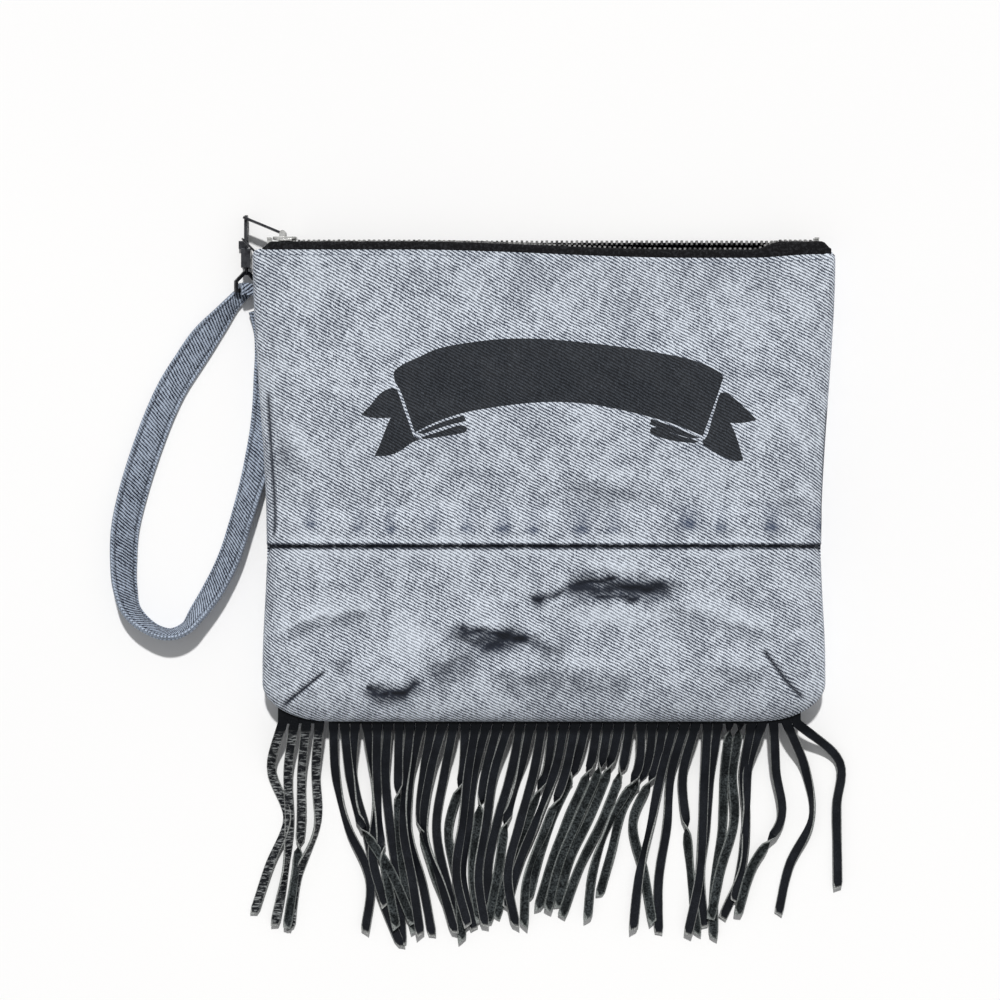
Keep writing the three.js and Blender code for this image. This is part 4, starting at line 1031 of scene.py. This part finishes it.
# Fringe: root x, fall, and sideways drift at each quarter of the fall, in mm, as in the part's source
STRANDS_LEFT = [
    (-117.5, 88, -5.8, 1.4, -6.8, -14), (-112.3, 93, -3.4, -2.9, -5.2, -9.7),
    (-106.8, 94, -2.7, -3.1, -5.9, -9.5), (-101, 95, -2.2, -1.8, -10.8, -14),
]
STRANDS = [
    (-94.7, 96, 0.7, 6.1, 16, 13.7), (-89.8, 92, 2, 7, 20.9, 30.8), (-84.8, 103, -1.6, 4.7, 10.1, 20.5),
    (-79.9, 84, 2.5, 3.4, 2.5, 8.3), (-74.9, 94, -0.7, 0.2, 3.8, 8.3), (-70, 102, -1.6, 0.7, 4.3, 6.1),
    (-65, 96, -0.7, -0.7, 2, 6.5), (-60.1, 97, -2, -3.4, 0.7, 4.3), (-55.1, 98, -5.2, -6.1, 0.2, 4.7),
    (-50.2, 89, -3.8, -5.6, -0.2, 8.8), (-45.2, 96, -6.1, -8.8, -1.6, 5.2),
    (-40.3, 98, -4.7, -8.3, -3.8, 3.4),
    (-35.3, 100, -1.6, -7.9, -3.4, -1.6), (-30.4, 93, -3.8, -6.5, -9.2, -3.8),
    (-25.4, 95, -6.1, -8.8, -11.5, -6.1),
    (-20.5, 91, -5.6, -9.2, -11.9, -8.3), (-15.5, 93, -7, -10.6, -14.2, -11),
    (-10.6, 89, -3.8, -10.1, -14.6, -13.7),
    (-5.6, 92, -5.2, -11.5, -15.1, -19.6), (-0.7, 93, -3.8, -10.1, -15.5, -11.9),
    (4.3, 90, -3.4, -11.5, -19.6, -25.9),
    (9.2, 85, -3.8, -11, -20, -26.3), (14.2, 93, -4.3, -12.4, -21.4, -23.2),
    (19.1, 82, -4.7, -13.7, -20.9, -26.3),
    (24.1, 86, -3.4, -12.4, -20.5, -26.8), (29, 86, -3.8, -12.8, -21.8, -27.2),
    (34, 85, -4.3, -12.4, -22.3, -27.7),
    (38.9, 89, -3.8, -11.9, -22.7, -30.8), (43.9, 90, -1.6, -13.3, -21.4, -24.1),
    (48.8, 80, -2, -12.8, -18.2, -23.6),
    (53.8, 92, -3.8, -13.3, -8.3, -4.3), (58.7, 95, -5.6, -10.1, -15.5, -18.2),
    (63.7, 97, -6.1, -7.9, -11.5, -11.5),
    (68.6, 97, -5.6, -3.8, -1.6, 1.1), (73.6, 97, -0.7, -1.6, -3.4, -8.3), (78.5, 94, -2.9, -4.7, -7, -5.6),
    (83.5, 99, -1.6, -2.5, -6.1, -6.5), (88.4, 90, -2.9, -2, -8.3, -12.8),
    (93.4, 90, -2.9, -1.6, -3.4, -12.4),
    (98.3, 82, -5.6, -6.5, -7.9, -11.9), (103.3, 88, 1.6, 4.3, -8.8, -15.5), (109, 88, 9.7, 12.8, 2.5, -2.5),
    (113.4, 76, 20.9, 19.6, 19.8, 20),
]
FRINGE_HEADER, ROOT_Y, DROP_SHARE, LAYER_RISE, LAYERS = 8.0, -1.0, 0.34, 1.4, 3
STRAND_STEPS = 30
# Main strands whose flesh side shows, and the share of the fall at which it comes up
TURNED = {
    1: 0.5, 4: 0.62, 6: 0.35, 9: 0.55, 12: 0.3, 15: 0.42, 18: 0.5, 20: 0.32, 22: 0.4, 23: 0.3, 24: 0.26,
    25: 0.24, 26: 0.24, 27: 0.26, 28: 0.3, 29: 0.34, 30: 0.3, 33: 0.5, 36: 0.04, 37: 0.04, 40: 0.6,
}
TURNED_LEFT = {2: 0.62}
# The strand's section: place across, place in its thickness, and 1 on a cut edge, which is painted paler with a
# painted sheen
STRAND_SECTION = [
    (-1.0, 0.25, 1.0), (-0.9, 1.0, 0.8), (-0.55, 1.05, 0.0), (0.0, 1.12, 0.0), (0.55, 1.05, 0.0),
    (0.9, 1.0, 0.8),
    (1.0, 0.25, 1.0), (1.0, -0.5, 1.0), (0.9, -1.0, 0.8), (0.0, -1.0, 0.0), (-0.9, -1.0, 0.8),
    (-1.0, -0.5, 1.0),
]
SMOOTH_SIDES = range(0, 6)
LEATHER_WIDTH = 4.3
# A strand's twist in degrees, the shares of the fall between which it lies, its length, and the strand's lean
SWING, SWING_AT, SWING_LENGTH, LEAN = 62, (0.3, 0.75), 0.16, 10
# Shares of the fall: the untwisted root, and a half turn; then the narrowed tip and its slanted cut in mm
ROOT_EASE, TURN_LENGTH, TIP_FROM, TIP_SHARE, SLANT = 0.16, 0.14, 0.97, 0.8, 1.28
# How far a strand's edges cup up, in mm, and its thickness as a share of the CAD's
CUP, THICK_SHARE, HEADER_SHARE = 0.22, 0.92, 0.86


def strand_mesh(strand, order, turn_share, draw, width_scale=1.0):
    """One leather strand: it falls to the table, twists a little, and may come to rest flesh side up."""
    x, fall, *drift = strand
    points = [(x, ROOT_Y, 0)] + [(x + d, ROOT_Y - fall * (i + 1) / 4, 0) for i, d in enumerate(drift)]
    path = spline(points, 12)
    lengths = [0.0]
    for a, b in zip(path, path[1:]):
        lengths.append(lengths[-1] + (b - a).length)
    rest = FLOOR_GAP + STRAND_THICK / 2 + (order % LAYERS) * LAYER_RISE
    curl = bpy.context.scene.pouch_fringe.curl
    swing_at, swing = draw.uniform(*SWING_AT), math.radians(draw.uniform(-SWING, SWING)) * curl
    lean = math.radians(draw.uniform(-LEAN, LEAN)) * curl
    phase = draw.uniform(0, 50)
    vertices, rims = [], []
    per = len(STRAND_SECTION)
    rows = STRAND_STEPS + 2
    for n in range(rows):
        t = max(0.0, (n - 1) / STRAND_STEPS)
        if n == 0:
            centre, along = Vector((x, FRINGE_HEADER, SEAM_Z)), Vector((0, -1, 0))
        else:
            want = t * lengths[-1]
            k = next((i for i in range(len(path) - 2) if lengths[i + 1] >= want), len(path) - 2)
            part = (want - lengths[k]) / max(lengths[k + 1] - lengths[k], 1e-6)
            centre = path[k].lerp(path[k + 1], part)
            along = (path[k + 1] - path[k]).normalized()
            centre.z = float(lerp(SEAM_Z, rest, smooth(t / DROP_SHARE)))
        near = float(smooth(t / ROOT_EASE))
        angle = near * (lean + swing * float(bell(t - swing_at, SWING_LENGTH)))
        if turn_share is not None and t > 0:
            turned = float(smooth((t - turn_share) / TURN_LENGTH + 0.5))
            angle += math.pi * turned * (1 if order % 2 else -1)
        width = LEATHER_WIDTH * width_scale * (1 + 0.07 * noise.noise(Vector((t * 9, phase, 0))))
        if t > TIP_FROM:
            width *= TIP_SHARE
        centre.z = max(centre.z, abs(math.sin(angle)) * width / 2 + STRAND_THICK / 2 + FLOOR_GAP)
        flat = Vector((-along.y, along.x, 0)).normalized()
        up = Vector((0, 0, 1))
        side = flat * math.cos(angle) + up * math.sin(angle)
        out = up * math.cos(angle) - flat * math.sin(angle)
        for k, (a, b, rim) in enumerate(STRAND_SECTION):
            ragged = 1 + 0.035 * noise.noise(Vector((t * 60, phase, a * 5)))
            rise = b * STRAND_THICK / 2 * THICK_SHARE + CUP * a * a
            vertices.append(place(*(centre + side * (a * ragged * width / 2) + out * rise)))
            rims.append(rim)
    slant = draw.uniform(-SLANT, SLANT)
    for k, (a, b, rim) in enumerate(STRAND_SECTION):
        vertices[(rows - 1) * per + k] += Vector((0, slant * a * MM, 0))
        rims[(rows - 1) * per + k] = 1.0
    sides = [0 if k in SMOOTH_SIDES else 1 for k in range(per)] * (rows - 1) + [1, 1]
    return vertices, loft_faces(rows, per), rims, sides


def fringe_piece(name, strands, seed, offset, turned):
    """A strip of strands and the header that is sewn into the seam, as one mesh of two leather finishes."""
    draw = random.Random(seed)
    vertices, faces, rims, sides = [], [], [], []
    for i, strand in enumerate(strands):
        v, f, r, s = strand_mesh(strand, i + offset, turned.get(i), draw)
        faces.extend(tuple(len(vertices) + k for k in face) for face in f)
        vertices.extend(v)
        rims.extend(r)
        sides.extend(s)
    left, right = strands[0][0] - LEATHER_WIDTH / 2, strands[-1][0] + LEATHER_WIDTH / 2
    columns = 2 * len(strands) + 1
    start = len(vertices)
    rows = [FRINGE_HEADER, ROOT_Y + 1, ROOT_Y - 0.6]
    for face_side in (1, -1):
        for y in rows:
            for c in range(columns):
                x = lerp(left, right, c / (columns - 1))
                notch = 0.5 * noise.noise(Vector((x / 3, 4.0, 0))) if y == rows[-1] else 0
                vertices.append(place(x, y + notch, SEAM_Z + face_side * STRAND_THICK / 2 * HEADER_SHARE))
                rims.append(0.7 if y == rows[-1] else 0.0)
    layer = len(rows) * columns
    quads = grid_faces(len(rows), columns)
    faces.extend(tuple(start + i for i in q[::-1]) for q in quads)
    faces.extend(tuple(start + layer + i for i in q) for q in quads)
    sides.extend([0] * len(quads) + [1] * len(quads))
    ring = list(range(columns)) + [r * columns + columns - 1 for r in range(1, len(rows))]
    ring += [(len(rows) - 1) * columns + c for c in range(columns - 2, -1, -1)]
    ring += [r * columns for r in range(len(rows) - 2, 0, -1)]
    for a, b in zip(ring, ring[1:] + ring[:1]):
        faces.append((start + a, start + b, start + layer + b, start + layer + a))
        sides.append(1)
    piece = new_piece(name, vertices, faces)
    face_outwards(piece)
    set_attribute(piece, "rim", rims)
    piece.data.polygons.foreach_set("material_index", np.array(sides, np.int32))
    return piece


class DenimSettings(bpy.types.PropertyGroup):
    crease: bpy.props.FloatProperty(
        name="Crease", description="Height of the folds in the front", default=1.0, min=0)
    pale: bpy.props.FloatVectorProperty(
        name="Pale thread", description="Colour of the undyed weft", default=srgb(228, 236, 247), size=4,
        subtype="COLOR")
    dark: bpy.props.FloatVectorProperty(
        name="Dyed thread", description="Colour of the dyed warp", default=srgb(56, 62, 76), size=4,
        subtype="COLOR")


class FringeSettings(bpy.types.PropertyGroup):
    curl: bpy.props.FloatProperty(
        name="Curl", description="How far strands twist as they fall", default=1.0, min=0)
    leather: bpy.props.FloatVectorProperty(
        name="Leather", description="Colour of the smooth side", default=srgb(13, 15, 19), size=4,
        subtype="COLOR")


class StageSettings(bpy.types.PropertyGroup):
    width: bpy.props.FloatProperty(
        name="View width", description="Width of the table that the camera sees", default=0.45, unit="LENGTH")
    key: bpy.props.FloatProperty(
        name="Key light", description="Strength of the key light", default=2.75, min=0)
    fill: bpy.props.FloatProperty(
        name="Fill light", description="Strength of the light all round", default=0.3, min=0)


def materials():
    """The finishes that several pieces share, made once."""
    made = bpy.data.materials
    if "Front denim" not in made:
        denim, leather = bpy.context.scene.pouch_denim, bpy.context.scene.pouch_fringe.leather
        # Paler cut edge of the leather, with a painted sheen
        cut = srgb(176, 178, 176)
        denim_material("Front denim", denim.dark, denim.pale)
        denim_material("Back denim", denim.dark, denim.pale, marked=False)
        denim_material("Strap denim", srgb(18, 23, 37), srgb(176, 188, 206))
        leather_material("Smooth leather", leather, srgb(38, 41, 47), cut, 0.42, 0.00006)
        leather_material("Folded leather", leather, srgb(30, 32, 36), cut, 0.4, 0.00012, crackle=0.85)
        leather_material("Flesh side", srgb(9, 12, 13), srgb(80, 86, 88), srgb(150, 155, 153), 0.85, 0.00022,
                         speckle=1150.0)
        tape_material()
        ink_material()
        thread_material()
        metal_material("Nickel plate", srgb(178, 178, 176), srgb(92, 92, 90), 0.2, 0.75)
        metal_material("Zip teeth", srgb(128, 128, 127), srgb(34, 34, 36), 0.3, 0.85)
        metal_material("Dark nickel", srgb(58, 59, 62), srgb(27, 27, 30), 0.24, 0.75)
    return made


# Divisions of the panels' grids
FRONT_COLUMNS, UPPER_ROWS, LOWER_ROWS, BACK_COLUMNS, BACK_ROWS = 201, 118, 92, 141, 110


def eased_rows(high, count, even):
    """Heights from 0 that lie closer together low down: the even share, and the rest eased."""
    share = np.linspace(0, 1, count)
    return high * (even * share + (1 - even) * (1 - np.cos(share * math.pi / 2)))


class POUCH_OT_front(bpy.types.Operator):
    """Make the two lapped denim panels of the front"""
    bl_idname = "pouch.front"
    bl_label = "Front panels"

    def execute(self, context):
        finish = materials()["Front denim"]
        rows = [np.linspace(LAP_Y, HEIGHT - TOP_CORNER, UPPER_ROWS), np.linspace(HEIGHT - 1.5, HEIGHT, 4)]
        upper = panel("front_cloth_upper", np.concatenate(rows), FRONT_COLUMNS, upper_mid)
        dress(upper, "pouch", "denim", finish, node="front_panel_upper")
        tuck = lambda y: LAP_STEP * smooth((y - LAP_Y + LAP_EASE) / (LAP_EASE - GAP))
        rows = eased_rows(LAP_TOP, LOWER_ROWS, 0.45)
        lower = panel("front_cloth_lower", rows, FRONT_COLUMNS, front_mid, narrow=tuck)
        dress(lower, "pouch", "denim", finish, node="front_panel_lower")
        return {"FINISHED"}


class POUCH_OT_back(bpy.types.Operator):
    """Make the denim panel that lies on the table"""
    bl_idname = "pouch.back"
    bl_label = "Back panel"

    def execute(self, context):
        rows = eased_rows(HEIGHT, BACK_ROWS, 0.7)
        back = panel("back_cloth", rows, BACK_COLUMNS, back_mid, flip=True, extras=False)
        dress(back, "pouch", "denim", materials()["Back denim"], node="back_panel")
        return {"FINISHED"}


class POUCH_OT_banner(bpy.types.Operator):
    """Print the blank ribbon on the front"""
    bl_idname = "pouch.banner"
    bl_label = "Ribbon print"

    def execute(self, context):
        shapes = {"ribbon": [RIBBON] + CURLS, "tail_left": [TAIL_LEFT], "tail_right": [TAIL_RIGHT]}
        for name, outlines in shapes.items():
            field = print_field("ink_" + name, outlines)
            dress(field, "pouch", "ink", materials()["Printed ink"], node="banner_" + name)
        return {"FINISHED"}


class POUCH_OT_zip(bpy.types.Operator):
    """Make the two zip tapes and their rows of teeth"""
    bl_idname = "pouch.zip"
    bl_label = "Zip"

    def execute(self, context):
        template = tooth_shape()
        for side, end in ((1, "front"), (-1, "back")):
            tape, teeth = zip_tape("tape_" + end, side), zip_teeth("teeth_" + end, template, side)
            dress(tape, "pouch", "zip_tape", materials()["Zip tape"], node="zip_half_" + end)
            dress(teeth, "pouch", "nickel", materials()["Zip teeth"])
        bpy.data.objects.remove(template)
        return {"FINISHED"}


# Which fittings have which plating, and those whose edges are softened, by this much in mm
PLATING = {
    "Nickel plate": ("zip_slider", "top_stop_front", "top_stop_back", "bottom_stop"),
    "Dark nickel": (
        "zip_pull", "corner_ring", "clasp_hook", "clasp_lever", "clasp_pin", "clasp_spring", "clasp_swivel"),
}
SOFTENED = ("zip_slider", "zip_pull", "clasp_hook", "clasp_lever", "clasp_swivel")
SOFT_EDGE, SOFT_ANGLE = 0.14, 50


class POUCH_OT_fittings(bpy.types.Operator):
    """Give the slider, stops, ring and clasp their plating and softened edges"""
    bl_idname = "pouch.fittings"
    bl_label = "Metal fittings"

    def execute(self, context):
        for finish, names in PLATING.items():
            for name in names:
                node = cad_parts[name]
                node.data.materials.clear()
                node.data.materials.append(materials()[finish])
        for name in SOFTENED:
            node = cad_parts[name]
            node.modifiers.new("Weld", "WELD").merge_threshold = 0.01 * MM
            rounding = node.modifiers.new("Edges", "BEVEL")
            rounding.width = SOFT_EDGE * MM
            rounding.segments = 2
            rounding.limit_method = "ANGLE"
            rounding.angle_limit = math.radians(SOFT_ANGLE)
        return {"FINISHED"}


class POUCH_OT_strap(bpy.types.Operator):
    """Make the folded wrist strap and its two rows of stitches"""
    bl_idname = "pouch.strap"
    bl_label = "Wrist strap"

    def execute(self, context):
        dress(strap_band(), "pouch", "strap_denim", materials()["Strap denim"], node="wrist_strap")
        template = stitch_shape()
        spots = []
        frames = strap_frames()
        for n in range(int(frames[-1][5] / STRAP_STITCH)):
            want = (n + 0.5) * STRAP_STITCH
            k = next(i for i in range(len(frames) - 1) if frames[i + 1][5] >= want)
            part = (want - frames[k][5]) / (frames[k + 1][5] - frames[k][5])
            centre = frames[k][0].lerp(frames[k + 1][0], part)
            side, up, along, width = frames[k][1:5]
            for edge in (-STITCH_ROW, STITCH_ROW):
                for face in (-1, 1):
                    at = centre + side * (edge * width / 2) + up * (face * STRAP_THICK / 2 * STITCH_ROW)
                    spots.append((place(*at), along, up * face))
        stitch_row("strap_stitches", "strap_denim", template, spots)
        bpy.data.objects.remove(template)
        return {"FINISHED"}


class POUCH_OT_seams(bpy.types.Operator):
    """Sew the rows of stitches that hold the zip in the front and back"""
    bl_idname = "pouch.seams"
    bl_label = "Zip stitching"

    def execute(self, context):
        template = stitch_shape()
        xs = np.arange(-127, 127.5, SEAM_STITCH)
        ys = np.full(xs.shape, HEIGHT - 2.3)
        zs = back_mid(xs, ys) - DENIM_THICK / 2
        along, up = Vector((1, 0, 0)), Vector((0, 0, 1))
        front = [(Vector(p), along, up) for p in outer_face(xs, ys, 0.02)]
        back = [(place(x, y, z), along, -up) for x, y, z in zip(xs, ys, zs)]
        stitch_row("stitches_front", "denim", template, front, thick=0.42)
        stitch_row("stitches_back", "denim", template, back, thick=0.42)
        bpy.data.objects.remove(template)
        return {"FINISHED"}


class POUCH_OT_fringe(bpy.types.Operator):
    """Cut the leather fringe and let its strands fall and turn"""
    bl_idname = "pouch.fringe"
    bl_label = "Leather fringe"

    def execute(self, context):
        made = materials()
        left = fringe_piece("fringe_strands_left", STRANDS_LEFT, 5, 0, TURNED_LEFT)
        dress(left, "pouch", "leather", made["Folded leather"], made["Flesh side"], node="fringe_left")
        strands = fringe_piece("fringe_strands_main", STRANDS, 8, 1, TURNED)
        dress(strands, "pouch", "leather", made["Smooth leather"], made["Flesh side"], node="fringe_main")
        return {"FINISHED"}


# The table's size in metres and drop in mm; the sun's tilt and width in degrees; the camera's lens and place
TABLE_SIZE, TABLE_DROP = 6, 0.1
SUN_TILT, SUN_WIDTH, SUN_COLOUR = -34, 3.5, (1.0, 0.993, 0.98)
LENS, SENSOR, VIEW_CENTRE = 100, 36, (0.0104, 0.0375)


class POUCH_OT_stage(bpy.types.Operator):
    """Lay the white table, and set the light and the camera straight above"""
    bl_idname = "pouch.stage"
    bl_label = "Table, light and camera"

    def execute(self, context):
        settings = context.scene.pouch_stage
        bpy.ops.object.select_all(action="DESELECT")
        bpy.ops.mesh.primitive_plane_add(size=TABLE_SIZE, location=(0, 0, -TABLE_DROP * MM))
        table = context.object
        bpy.ops.object.transform_apply(location=True, rotation=False, scale=False)
        table.name = "table"
        g, shader = blank_material("White table")
        cloud = g.noise(g.own_place(), 3.0, 2.0)
        g.fill(shader, Base_Color=g.mix(cloud, srgb(249, 249, 250), srgb(253, 253, 253)), Roughness=0.9,
               Specular_IOR_Level=0.1)
        table.data.materials.append(bpy.data.materials["White table"])

        world = bpy.data.worlds.new("Studio")
        context.scene.world = world
        world.use_nodes = True
        w = Graph(world.node_tree)
        rays = w.node("ShaderNodeLightPath").outputs
        seen = w.math("MAXIMUM", rays["Is Glossy Ray"], rays["Is Transmission Ray"])
        seen = w.math("MAXIMUM", rays["Is Camera Ray"], seen)
        strength = w.node("ShaderNodeMapRange")
        w.fill(strength, Value=seen, To_Min=settings.fill)
        w.fill(world.node_tree.nodes["Background"], Color=(1, 1, 1, 1), Strength=strength.outputs["Result"])

        bpy.ops.object.light_add(type="SUN", rotation=(math.radians(SUN_TILT), 0, 0))
        key = context.object
        key.name = "key"
        key.data.energy = settings.key
        key.data.angle = math.radians(SUN_WIDTH)
        key.data.color = SUN_COLOUR

        distance = settings.width / SENSOR * LENS + SEAM_Z * MM
        bpy.ops.object.camera_add(location=(*VIEW_CENTRE, distance), rotation=(0, 0, 0))
        camera = context.object
        camera.data.lens = LENS
        context.scene.camera = camera
        context.scene.view_settings.view_transform = "Standard"
        return {"FINISHED"}


OPERATORS = (
    POUCH_OT_front, POUCH_OT_back, POUCH_OT_banner, POUCH_OT_zip, POUCH_OT_fittings, POUCH_OT_strap,
    POUCH_OT_seams, POUCH_OT_fringe, POUCH_OT_stage,
)


class POUCH_PT_panel(bpy.types.Panel):
    """Lists the pieces of the pouch and their sizes and colours"""
    bl_idname = "POUCH_PT_panel"
    bl_label = "Fringed pouch"
    bl_space_type = "VIEW_3D"
    bl_region_type = "UI"
    bl_category = "Pouch"

    def draw(self, context):
        scene = context.scene
        for settings in (scene.pouch_denim, scene.pouch_fringe, scene.pouch_stage):
            box = self.layout.box()
            for name in settings.__annotations__:
                box.prop(settings, name)
        for operator in OPERATORS:
            self.layout.operator(operator.bl_idname)


SETTINGS = {"pouch_denim": DenimSettings, "pouch_fringe": FringeSettings, "pouch_stage": StageSettings}


def register():
    for cls in (*SETTINGS.values(), *OPERATORS, POUCH_PT_panel):
        bpy.utils.register_class(cls)
    for name, cls in SETTINGS.items():
        setattr(bpy.types.Scene, name, bpy.props.PointerProperty(type=cls))


def unregister():
    for name in SETTINGS:
        delattr(bpy.types.Scene, name)
    for cls in (POUCH_PT_panel, *reversed(OPERATORS), *SETTINGS.values()):
        bpy.utils.unregister_class(cls)


def main():
    register()
    for step in ("front", "back", "banner", "zip", "fittings", "strap", "seams", "fringe", "stage"):
        getattr(bpy.ops.pouch, step)()


if __name__ == "__main__":
    main()
